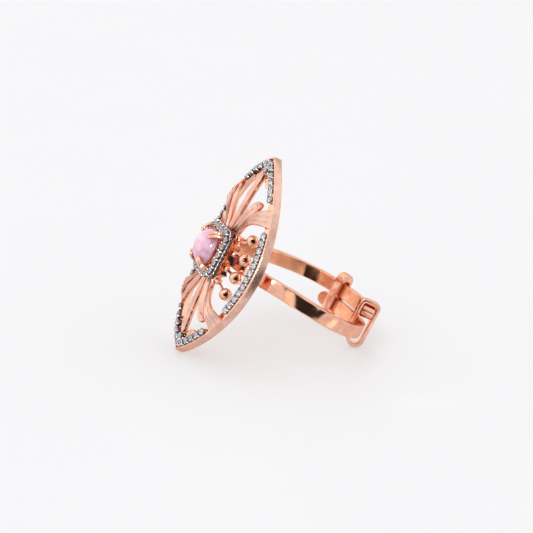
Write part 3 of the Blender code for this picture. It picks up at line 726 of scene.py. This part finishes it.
def halo():
    """Square frame of stones with cut corners, on a thin frame: plated top chamfers, the rest in painted
    shade.
    """
    low = HALO_LOW.z
    high = HALO_HIGH.z
    foot = low + HALO_FOOT
    shoulder = high - HALO_SHOULDER
    deck = high - HALO_DECK
    steps = HALO_FLUTE_STEPS * HALO_FLUTES
    outer = cut_corner_rectangle(HALO_HIGH.x - HALO_SIDE_INSET, HALO_HIGH.y - HALO_SIDE_INSET, HALO_CUT)
    outer = spread_along(outer, steps)
    inner = spread_along(halo_outline(HALO_BAND), steps)
    rings = []
    for index, (a, b) in enumerate(zip(outer, inner)):
        edge = (a - b) * HALO_CHAMFER_SHARE
        a = a - edge * HALO_FLUTE_DEPTH * abs(math.sin(math.pi * HALO_FLUTES * index / steps))
        rings.append([
            (*(a - edge), low), (*a, foot), (*a, shoulder), (*(a - edge), deck),
            (*(b + edge), deck), (*b, shoulder), (*b, foot), (*(b + edge), low),
        ])
    shape = lofted(rings, closed=True, skins=(1, 1, 0, 1, 0, 1, 1, 1))
    # All but the two top chamfers take the painted shade plate.
    make_piece("halo_frame", shape, (RHODIUM, PAINTED_SHADE_PLATE), ["halo_setting"])
    line = spread_along(halo_outline(HALO_BAND / 2), HALO_STONES)
    spots = [(Vector((*point, high + HALO_STONE_LIFT)), Z_AXIS) for point in line]
    nodes = [f"halo_stone_{number:02d}" for number in range(1, HALO_STONES + 1)]
    stone_setting("halo", spots, nodes, HALO_STONE_FOOT, seed=31)


def gallery():
    """Wall under the halo, with a scalloped lower edge and a rounded rail on top."""
    bottom = GALLERY_LOW.z
    top = GALLERY_HIGH.z
    corners = cut_corner_rectangle(GALLERY_HIGH.x, GALLERY_HIGH.y, GALLERY_CUT)
    rings = []
    for index, point in enumerate(spread_along(corners, SCALLOP_STEPS * GALLERY_SCALLOPS)):
        low = bottom + SCALLOP_DEPTH * abs(math.sin(math.pi * index / SCALLOP_STEPS))
        inward = point * (1.0 - GALLERY_WALL / point.length)
        sunk = point * (1.0 - GALLERY_INSET / point.length)
        ring = [(*sunk, low), (*point, low + GALLERY_FOOT)]
        ring.extend((*(sunk if set_in else point), top - depth) for set_in, depth in GALLERY_RAIL)
        rings.append(ring + [(*inward, top), (*inward, low)])
    make_piece("gallery_wall", lofted(rings, closed=True), (POLISHED,), ["gallery"])


# -------------------- cabochon and claws

def cushion_ring(half_x, half_y, z):
    ring = []
    for index in range(CUSHION_SIDES):
        angle = math.tau * index / CUSHION_SIDES
        c, s = math.cos(angle), math.sin(angle)
        reach = (abs(c) ** CABOCHON_POWER + abs(s) ** CABOCHON_POWER) ** (-1.0 / CABOCHON_POWER)
        ring.append((half_x * reach * c, half_y * reach * s, z))
    return ring


def cabochon():
    half_x, half_y = CABOCHON_HIGH.x, CABOCHON_HIGH.y
    bottom, top = CABOCHON_LOW.z, CABOCHON_HIGH.z
    rings = [cushion_ring(share * half_x, share * half_y, bottom) for share in CABOCHON_FOOT_SHARES]
    for step in range(CABOCHON_STEPS):
        angle = math.radians(CABOCHON_TOP_ANGLE) * step / (CABOCHON_STEPS - 1)
        share = math.cos(angle)
        z = bottom + CABOCHON_GIRDLE + (top - bottom - CABOCHON_GIRDLE) * math.sin(angle)
        rings.append(cushion_ring(share * half_x, share * half_y, z))
    make_piece("cabochon_dome", lofted(rings), (CABOCHON,), ["cabochon"], sharp=60.0)


def rod(shape, path, radii):
    """Round rod along a smooth path, with a radius at each point."""
    rings = []
    for index, centre in enumerate(path):
        before = path[max(index - 1, 0)]
        after = path[min(index + 1, len(path) - 1)]
        line = (after - before).normalized()
        across = line.cross(Z_AXIS).normalized()
        over = across.cross(line)
        ring = []
        for side in range(ROD_SIDES):
            angle = math.tau * side / ROD_SIDES
            ring.append(centre + radii[index] * (across * math.cos(angle) + over * math.sin(angle)))
        rings.append(ring)
    shape.loft(rings)


def claw(shape, points):
    """Round-tipped prong along a curve of three points."""
    path = [bezier(points, i / CLAW_STEPS) for i in range(CLAW_STEPS + 1)]
    radii = [CLAW_RADIUS] * len(path)
    end = path[-1]
    line = (end - path[-2]).normalized()
    for degrees in CLAW_TIP_ANGLES:
        angle = math.radians(degrees)
        path.append(end + line * CLAW_RADIUS * math.sin(angle))
        radii.append(CLAW_RADIUS * math.cos(angle))
    rod(shape, path, radii)


def claws():
    """Cup under the cabochon and a pair of round-tipped prongs at each of its corners."""
    half_x, half_y = CABOCHON_HIGH.x, CABOCHON_HIGH.y
    low = HEAD_HEIGHT - BASKET_DROP
    high = CABOCHON_LOW.z - TOUCH_GAP
    levels = (
        (BASKET_FOOT, 0.0, low), (BASKET_WAIST, 0.0, low + BASKET_BEND),
        (BASKET_SHOULDER, 0.0, high - BASKET_BEND), (1.0, 0.0, high - BASKET_LIP),
        (1.0, 0.0, high), (1.0, BASKET_WALL, high), (BASKET_FOOT, BASKET_WALL, low),
    )
    circles = [cushion_ring(share * half_x - inset, share * half_y - inset, z) for share, inset, z in levels]
    shape = lofted([list(ring) for ring in zip(*circles)], closed=True)
    for sign_x in (1, -1):
        for sign_y in (1, -1):
            corner = Vector((sign_x, sign_y, 1.0))
            for half in (-0.5, 0.5):
                shift = Vector((-sign_x, sign_y, 0.0)).normalized() * half * CLAW_SPACING
                shift.z = HEAD_HEIGHT
                foot, knee, tip = (Vector(point) * corner + shift for point in CLAW_PATH)
                bend = knee + (knee - (foot + tip) / 2) * 0.5
                claw(shape, (foot, bend, tip))
    make_piece("basket_and_claws", shape, (POLISHED,), ["claw_basket"])


# -------------------- petals

def petal(name, left_edge, right_edge, flutes, depth, round_end, rise, dip, pit, node):
    """Fluted satin leaf between two plan curves, with polished side walls."""
    across = FLUTE_STEPS * flutes
    rings = []
    pit_at = None
    if pit:
        pit_at = bezier(left_edge, pit).lerp(bezier(right_edge, pit), 0.5)
    for station in range(PETAL_STATIONS):
        t = station / (PETAL_STATIONS - 1)
        if round_end:
            t = 1.0 - (1.0 - t) ** END_CROWDING
        left = bezier(left_edge, t)
        right = bezier(right_edge, t)
        pinch = 0.0
        if round_end and t > 1.0 - round_end:
            u = (t - 1.0 + round_end) / round_end
            pinch = 1.0 - math.sqrt(1.0 - END_PINCH * u * u)
        climb = smooth_step(t / PETAL_RISE_END)
        fall = smooth_step((t - PETAL_RISE_END) / (1.0 - PETAL_RISE_END))
        lift = PETAL_BASE_LIFT + rise * climb - dip * fall
        fade = 1.0 - FLUTE_FADE * smooth_step((t - FADE_START) / FADE_LENGTH) * bool(dip)
        ring = []
        for j in range(across + 1):
            s = pinch / 2 + (1.0 - pinch) * j / across
            x, y = left.lerp(right, s)
            trough = fade * abs(math.sin(math.pi * flutes * j / across)) ** FLUTE_POWER
            edge = PETAL_EDGE if j in (0, across) else 0.0
            hollow = FLUTE_DEPTH * (1.0 - pinch) * trough + edge
            if pit_at:
                away = (Vector((x, y)) - pit_at).length / PIT_RADIUS
                hollow += PIT_DEPTH * math.exp(-away ** 4)
            ring.append((x, y, head_z(x, y) + lift - hollow))
        for s, share in PETAL_SIDE:
            x, y = left.lerp(right, pinch / 2 + (1.0 - pinch) * s)
            ring.append((x, y, head_z(x, y) + lift - PETAL_EDGE - (depth - PETAL_EDGE) * share))
        rings.append(ring)
    shape = lofted(rings, skins=[0] * across + [1] * (len(PETAL_SIDE) + 1), cap_skin=1)
    make_piece(name, shape, (SATIN, POLISHED), [node], sharp=50.0)


def mirrored(points, side, end):
    return [(side * x, end * y) for x, y in points]


def petals():
    """Both fans of five. The plan curves are of the near side's upper fan, and the rest mirror them."""
    base = PETAL_BASE_Y
    upper_corner = outline_point(1, TOUCH_GAP, turn_at(0.0, POINT_RUN_START) - TOUCH_GAP / 2)
    lower_corner = outline_point(1, TOUCH_GAP, turn_at(0.0, BROAD_PETAL_LOW))
    edges = {
        "long": (
            [(-0.45, base), (-0.7, 7.0), (-0.65, 10.55)],
            [(0.45, base), (0.7, 7.0), (0.65, 10.55)],
        ),
        "short": (
            [(0.62, base), (1.5, 5.6), (3.2, 8.2)],
            [(1.5, base), (3.0, 5.1), (4.5, 7.45)],
        ),
        "broad": (
            [(1.62, base), (3.0, 4.9), (4.35, 6.6), upper_corner],
            [(2.5, base), (2.9, 4.3), (4.5, 5.5), lower_corner],
        ),
    }
    for end, end_name in NAMED_ENDS:
        left, right = (mirrored(edge, 1, end) for edge in edges["long"])
        node = f"{end_name}_long_petal"
        petal(node + "_leaf", left, right, node=node, **PETALS["long"])
        for side, side_name in NAMED_SIDES:
            for kind in ("short", "broad"):
                left, right = (mirrored(edge, side, end) for edge in edges[kind])
                node = f"{end_name}_{side_name}_{kind}_petal"
                petal(node + "_leaf", left, right, node=node, **PETALS[kind])


# -------------------- balls

def ball_stem(name, start, ball, finish, node):
    """Square-shouldered stub, round ball and thin stem on one line from the gallery to the rim."""
    line = (finish - start).normalized()
    across = line.cross(Z_AXIS).normalized()
    over = across.cross(line)
    stations = [
        (start + line * distance, STUB_RADIUS * share, power) for distance, share, power in STUB_STATIONS
    ]
    stations.append((start + line * NECK_START, NECK_RADIUS, 2.0))
    first = math.asin(NECK_RADIUS / BALL_RADIUS)
    last = math.pi - math.asin(STEM_RADIUS * STEM_NECK / BALL_RADIUS)
    for step in range(BALL_STEPS + 1):
        angle = first + (last - first) * step / BALL_STEPS
        stations.append((ball - line * BALL_RADIUS * math.cos(angle), BALL_RADIUS * math.sin(angle), 2.0))
    stations.append((finish.lerp(ball, STEM_WAIST_PLACE), STEM_RADIUS * STEM_WAIST, 2.0))
    stations.append((finish - line * STEM_FLARE, STEM_RADIUS * STEM_NECK, 2.0))
    stations.append((finish, STEM_RADIUS, 2.0))
    rings = []
    for centre, radius, power in stations:
        ring = []
        for side in range(STEM_SIDES):
            angle = math.tau * (side + 0.5) / STEM_SIDES
            c, s = math.cos(angle), math.sin(angle)
            reach = radius * (abs(c) ** power + abs(s) ** power) ** (-1.0 / power)
            ring.append(centre + reach * (across * c + over * s))
        rings.append(ring)
    make_piece(name, lofted(rings), (POLISHED,), [node], sharp=45.0)


def balls():
    """Eight balls on stems. Gives back the centres of the four on the near side."""
    inset = RIM_WIDTH + TOUCH_GAP
    near_balls = []
    for side, side_name in NAMED_SIDES:
        for end, end_name in NAMED_ENDS:
            for kind, plan in BALL_PLANS.items():
                start_x, start_y = plan["start"]
                rim_y = plan["rim_y"]
                rim_x = outline_point(1, inset, turn_at(inset, rim_y))[0]
                start = Vector((start_x, start_y, head_z(start_x, start_y) + STEM_LEVEL))
                finish = Vector((rim_x, rim_y, head_z(rim_x, rim_y) + STEM_LEVEL))
                ball = start.lerp(finish, (plan["ball_x"] - start_x) / (rim_x - start_x))
                flip = Vector((side, end, 1.0))
                node = f"{side_name}_{end_name}_{kind}_ball"
                ball_stem(node + "_stem", start * flip, ball * flip, finish * flip, node)
                if side > 0:
                    near_balls.append(ball * flip)
    return near_balls


# -------------------- band

def band_thickness(angle):
    if angle > 90.0:
        start, length = THINNING_TO_TOP
        return BAND_THICK_SIDE + (BAND_THICK_TOP - BAND_THICK_SIDE) * smooth_step((angle - start) / length)
    start, length = THINNING_TO_BACK
    return BAND_THICK_SIDE + (BAND_THICK_BACK - BAND_THICK_SIDE) * smooth_step((start - angle) / length)


def band_shift(side, angle):
    """How far the band has moved along the finger, so that its two tails lie side by side."""
    full = NEAR_TAIL_SHIFT if side > 0 else FAR_TAIL_SHIFT
    return full * smooth_step((SHIFT_START - angle) / (SHIFT_START - SHIFT_END))


def band_section(side, angle, half_width=BAND_HALF_WIDTH, swell=0.0):
    """Cut face of the band with softened edges; swell thickens it outwards."""
    half_thick = (band_thickness(angle) + swell) / 2
    middle = FINGER_RADIUS + half_thick
    corners = rectangle(half_width, -half_thick, half_thick)
    section, skins = soften(corners, BAND_EDGE_RADIUS, skins=(0, 0, 0, 1), steps=4)
    turn = math.radians(angle)
    ring = []
    shift = band_shift(side, angle)
    for along, out in section:
        radius = middle + out
        ring.append((side * radius * math.sin(turn), shift + along, -radius * math.cos(turn)))
    return ring, skins


def arm(name, side, last_angle, nodes, swell=0.0):
    """One arm of the band as a single strip, from under the head to its free end."""
    round_angle = math.degrees(BAND_HALF_WIDTH / FINGER_RADIUS)
    straight_end = last_angle + round_angle
    rings = []
    for i in range(BAND_STEPS + 1):
        angle = 180.0 + (straight_end - 180.0) * i / BAND_STEPS
        share = smooth_step((straight_end + SWELL_TURN - angle) / SWELL_TURN)
        ring, skins = band_section(side, angle, swell=swell * share)
        rings.append(ring)
    for turn in TAIL_END_TURNS:
        angle = straight_end - round_angle * math.sin(math.radians(turn))
        half_width = BAND_HALF_WIDTH * math.cos(math.radians(turn))
        ring, skins = band_section(side, angle, half_width=half_width, swell=swell)
        rings.append(ring)
    # The finger side takes the painted reflection of the other arm.
    piece = make_piece(name, lofted(rings, skins=skins), (BAND_METAL, BAND_INSIDE_PAINTED_REFLECTION), nodes, body=None)
    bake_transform(piece)


def loop_path(inner, outer, bottom_inner, top, bottom, top_corner):
    """Middle line of a loop as (outward, along) points; below the band its inner leg leans outwards."""
    bottom_radius = (outer - bottom_inner) / 2
    bottom_out = (outer + bottom_inner) / 2
    quarters = (
        (outer - top_corner, top - top_corner, top_corner, 0.0),
        (inner + top_corner, top - top_corner, top_corner, 90.0),
        (bottom_out, bottom + bottom_radius, bottom_radius, 180.0),
        (bottom_out, bottom + bottom_radius, bottom_radius, 270.0),
    )
    path = []
    for out, along, radius, first in quarters:
        if first == 180.0:
            path.append(Vector((inner, LOOP_STRAIGHT_END)))
        for step in range(LOOP_ARC_STEPS):
            angle = math.radians(first + 90.0 * (step + 0.5) / LOOP_ARC_STEPS)
            path.append(Vector((out + radius * math.cos(angle), along + radius * math.sin(angle))))
    return path


def loop(name, angle, top, top_corner, slack, lean, fill, body, node):
    """Strip bent round both tails, thicker and rounder at the top, slimmer at the bottom.

    fill thickens the top inwards. slack and lean move the outer and the lower inner leg outwards.
    """
    turn = math.radians(angle)
    outward = Vector((math.sin(turn), 0.0, -math.cos(turn)))
    sideways = Vector((math.cos(turn), 0.0, math.sin(turn)))
    along = Vector((0.0, 1.0, 0.0))
    centre = outward * (FINGER_RADIUS + BAND_THICK_BACK / 2)
    half_t = LOOP_THICKNESS / 2
    reach = BAND_THICK_BACK / 2 + SLIDE_GAP + half_t
    path = loop_path(-reach, reach + slack, lean - reach, top - half_t, LOOP_BOTTOM + half_t, top_corner)
    rings = []
    for index, spot in enumerate(path):
        tangent = (path[(index + 1) % len(path)] - path[index - 1]).normalized()
        normal = outward * tangent.y - along * tangent.x
        knob = smooth_step(spot.y - (top - KNOB_REACH))
        slim = smooth_step((-SLIM_LENGTH - spot.y) / SLIM_LENGTH)
        half_w = LOOP_WIDTH / 2 * (1.0 - SLIM_SHARE * slim)
        outer_t = half_t + KNOB_SWELL * knob
        inner_t = half_t + fill * smooth_step((spot.y - (top - FILL_REACH)) / FILL_LENGTH)
        corners = rectangle(half_w, -inner_t, outer_t)
        section, _ = soften(corners, LOOP_EDGE_RADIUS + KNOB_EDGE_RADIUS * knob, steps=5)
        point = centre + outward * spot.x + along * spot.y
        rings.append([point + sideways * wide + normal * thick for wide, thick in section])
    make_piece(name, lofted(rings, closed=True), (BAND_METAL,), [node], body=body, sharp=60.0)


# -------------------- stage

CAMERA_AT = RING @ Vector((387.8, 73.7, 182.7))
CAMERA_LOOKS_AT = RING @ Vector((-1.69, 0.21, 3.59))
CAMERA_TOP = Vector((-0.328, 0.875, 0.355))  # which way is up in the picture, in the ring's frame
LENS = 247.94
NEAREST = 0.01
FURTHEST = 20.0

# Studio. Directions are azimuth and elevation in degrees, from the ring
ROOM = 0.92
PANELS = (  # direction, degrees of full and of no effect, added strength
    ((-125, 15), 15, 50, 0.45),
    ((85, 40), 15, 40, 0.3),
    ((165, 60), 20, 40, 0.4),
)
GAPS = (  # the same, with the share of light taken away
    ((-20, 72), 8, 18, 0.85),
    ((-75, 48), 6, 16, 0.7),
    ((140, 30), 5, 14, 0.8),
    ((-165, 25), 5, 14, 0.7),
)
CAMERA_GAP = (13, 24, 0.95)
LIGHT_COLOUR = (1.0, 0.995, 0.99, 1.0)
BACKDROP = (0.925, 0.925, 0.945, 1.0)
FLOOR_HALF_SIDE = 4.0
FLOOR_TONES = ((0.41, 0.415, 0.445), (0.42, 0.425, 0.455))
FLOOR_GRAIN = 60.0
FLOOR_LIGHT = (0.97, 0.955, 0.925, 1.0)
FLOOR_GLOW = 0.465

# Small cards that only reflections show
CARD_LIGHT = (1.0, 0.93, 0.80, 1.0)
CARD_GRAIN = 40.0
CARDS = (  # name, centre, half width, half height in metres, and glow
    ("front_black_card", (0.0006, -0.022, 0.0080), (0.0053, 0.0, 0.0), (0.0, 0.0, 0.0047), 0.0),
    ("right_black_card", (0.0101, -0.022, 0.0066), (0.0042, 0.0, 0.0015), (0.0, 0.0, 0.0018), 0.0),
    ("hole_black_card", (0.0054, 0.0061, 0.0055), (0.00048, -0.00041, 0.0), (0.00045, 0.0001, 0.0014), 0.0),
    ("left_warm_card", (-0.0077, -0.022, 0.0098), (0.0027, 0.0, 0.0), (0.0, 0.0, 0.0065), 1.3),
    ("floor_white_card", (0.0140, -0.0173, 0.0003), (0.0035, 0.0, 0.0), (0.0, 0.0022, 0.0), 1.7),
)
BALL_CARD_DISTANCE = 1.2
BALL_CARD_HALF = 0.62
SPARK_SPOT = Vector((1.82, 0.6, 12.73))  # where the cabochon has its highlight
SPARK_DIRECTION = (-13, 18)
SPARK_DISTANCE = 12.0
SPARK_HALF = 1.25
SPARK_GLOW = 60.0


def direction(azimuth, elevation):
    """Unit vector from the object towards a viewer at an azimuth and an elevation."""
    a, e = math.radians(azimuth), math.radians(elevation)
    return Vector((math.sin(a) * math.cos(e), -math.cos(a) * math.cos(e), math.sin(e)))


def camera():
    data = bpy.data.cameras.new("camera")
    data.lens = LENS
    data.clip_start = NEAREST
    data.clip_end = FURTHEST
    view = add_object("camera", data)
    back = (CAMERA_AT - CAMERA_LOOKS_AT).normalized()
    top = (RING.to_3x3() @ CAMERA_TOP).normalized()
    right = top.cross(back).normalized()
    turned = Matrix((right, back.cross(right), back)).transposed().to_4x4()
    view.matrix_world = Matrix.Translation(CAMERA_AT) @ turned
    bpy.context.scene.camera = view


def lobe(tree, vector, towards, inner, outer):
    """1 within inner degrees of a direction, falling smoothly to 0 at outer degrees."""
    dot = add_node(tree, "ShaderNodeVectorMath", {0: vector, 1: towards}, operation="DOT_PRODUCT")
    none = math.cos(math.radians(outer))
    full = math.cos(math.radians(inner))
    inputs = {"Value": dot.outputs["Value"], "From Min": none, "From Max": full}
    return add_node(tree, "ShaderNodeMapRange", inputs, interpolation_type="SMOOTHSTEP").outputs["Result"]


def studio():
    """A pale room with white panels and dark gaps, and a plain backdrop for the camera."""
    world = bpy.data.worlds.new("studio")
    bpy.context.scene.world = world
    world.use_nodes = True
    tree = world.node_tree
    tree.nodes.clear()
    ray = add_node(tree, "ShaderNodeTexCoord").outputs["Generated"]
    to_camera = (CAMERA_AT - CAMERA_LOOKS_AT).normalized()
    strength = ROOM
    for towards, inner, outer, power in PANELS:
        panel = lobe(tree, ray, direction(*towards), inner, outer)
        strength = calculated(tree, "MULTIPLY_ADD", panel, power, strength)
    gaps = [(direction(*towards), inner, outer, share) for towards, inner, outer, share in GAPS]
    gaps.append((to_camera, *CAMERA_GAP))
    for towards, inner, outer, share in gaps:
        shade = calculated(tree, "MULTIPLY_ADD", lobe(tree, ray, towards, inner, outer), -share, 1.0)
        strength = calculated(tree, "MULTIPLY", strength, shade)
    light = add_node(tree, "ShaderNodeBackground", {"Color": LIGHT_COLOUR, "Strength": strength})
    backdrop = add_node(tree, "ShaderNodeBackground", {"Color": BACKDROP, "Strength": 1.0})
    seen = add_node(tree, "ShaderNodeLightPath").outputs["Is Camera Ray"]
    inputs = {0: seen, 1: light.outputs["Background"], 2: backdrop.outputs["Background"]}
    mix = add_node(tree, "ShaderNodeMixShader", inputs)
    add_node(tree, "ShaderNodeOutputWorld", {"Surface": mix.outputs["Shader"]})


def area_light(name, azimuth, elevation, distance, size, power):
    """Square lamp that faces the ring, sizes in metres."""
    data = bpy.data.lights.new(name, "AREA")
    data.shape = "SQUARE"
    data.size = size
    data.energy = power
    lamp = add_object(name, data)
    back = direction(azimuth, elevation)
    lamp.location = CAMERA_LOOKS_AT + back * distance
    lamp.rotation_euler = (-back).to_track_quat("-Z", "Y").to_euler()


def plate(name, centre, across, up, material):
    """Flat rectangle from its centre and its two half sides, in metres."""
    centre, across, up = Vector(centre), Vector(across), Vector(up)
    corners = [centre - across - up, centre + across - up, centre + across + up, centre - across + up]
    mesh = bpy.data.meshes.new(name)
    mesh.from_pydata([tuple(corner) for corner in corners], [], [(0, 1, 2, 3)])
    mesh.materials.append(material)
    piece = add_object(name, mesh)
    return piece


def floor():
    material, tree, shader = new_material("pale_floor")
    place = add_node(tree, "ShaderNodeTexCoord").outputs["Object"]
    grain = noise_of(tree, place, FLOOR_GRAIN)
    connect(tree, shader, {
        "Base Color": mixed_colour(tree, grain, *FLOOR_TONES),
        "Roughness": 0.7,
        "Specular IOR Level": 0.2,
        "Emission Color": FLOOR_LIGHT,
        "Emission Strength": FLOOR_GLOW,
    })
    plate("floor", (0.0, 0.0, 0.0), (FLOOR_HALF_SIDE, 0.0, 0.0), (0.0, FLOOR_HALF_SIDE, 0.0), material)


def card(name, centre, across, up, glow=0.0):
    """A small card that only reflections show."""
    material, tree, shader = new_material(name)
    place = add_node(tree, "ShaderNodeTexCoord").outputs["Object"]
    connect(tree, shader, {
        "Base Color": ranged(tree, noise_of(tree, place, CARD_GRAIN), 0.010, 0.014),
        "Roughness": 0.9,
        "Emission Color": CARD_LIGHT,
        "Emission Strength": glow,
    })
    piece = plate(name, centre, across, up, material)
    piece.visible_camera = False
    piece.visible_diffuse = False
    piece.visible_shadow = False
    piece.visible_transmission = False


def facing_card(name, spot, towards, distance, half, glow=0.0):
    """A square card, sizes in millimetres, which faces a spot from one direction."""
    towards = towards.normalized()
    across = towards.cross(Z_AXIS).normalized() * half * MM
    card(name, spot + towards * distance * MM, across, across.cross(towards), glow)


def cards(near_balls):
    """The cards of the table, one in front of each near ball, and one that lights up on the cabochon."""
    for name, centre, across, up, glow in CARDS:
        card(name, centre, across, up, glow)
    to_camera = CAMERA_AT - CAMERA_LOOKS_AT
    for number, ball in enumerate(near_balls, start=1):
        facing_card(f"ball_card_{number}", RING @ ball, to_camera, BALL_CARD_DISTANCE, BALL_CARD_HALF)
    spark_towards = direction(*SPARK_DIRECTION)
    facing_card("spark_card", RING @ SPARK_SPOT, spark_towards, SPARK_DISTANCE, SPARK_HALF, SPARK_GLOW)


rim()
rim_stones()
halo()
gallery()
cabochon()
claws()
petals()
front_balls = balls()
arm("near_arm", 1, NEAR_TAIL_END, ["near_tail", "shank_bow"])
arm("far_arm", -1, FAR_TAIL_END, ["far_tail", "shank_bow"], swell=FAR_TAIL_SWELL)
loop("near_loop", body="near_tail", node="near_tail_loop", **NEAR_LOOP)
loop("far_loop", body="far_tail", node="far_tail_loop", **FAR_LOOP)

floor()
studio()
cards(front_balls)
area_light("key", azimuth=-60, elevation=55, distance=2.0, size=1.2, power=8.0)
camera()
bpy.context.scene.view_settings.view_transform = "Standard"
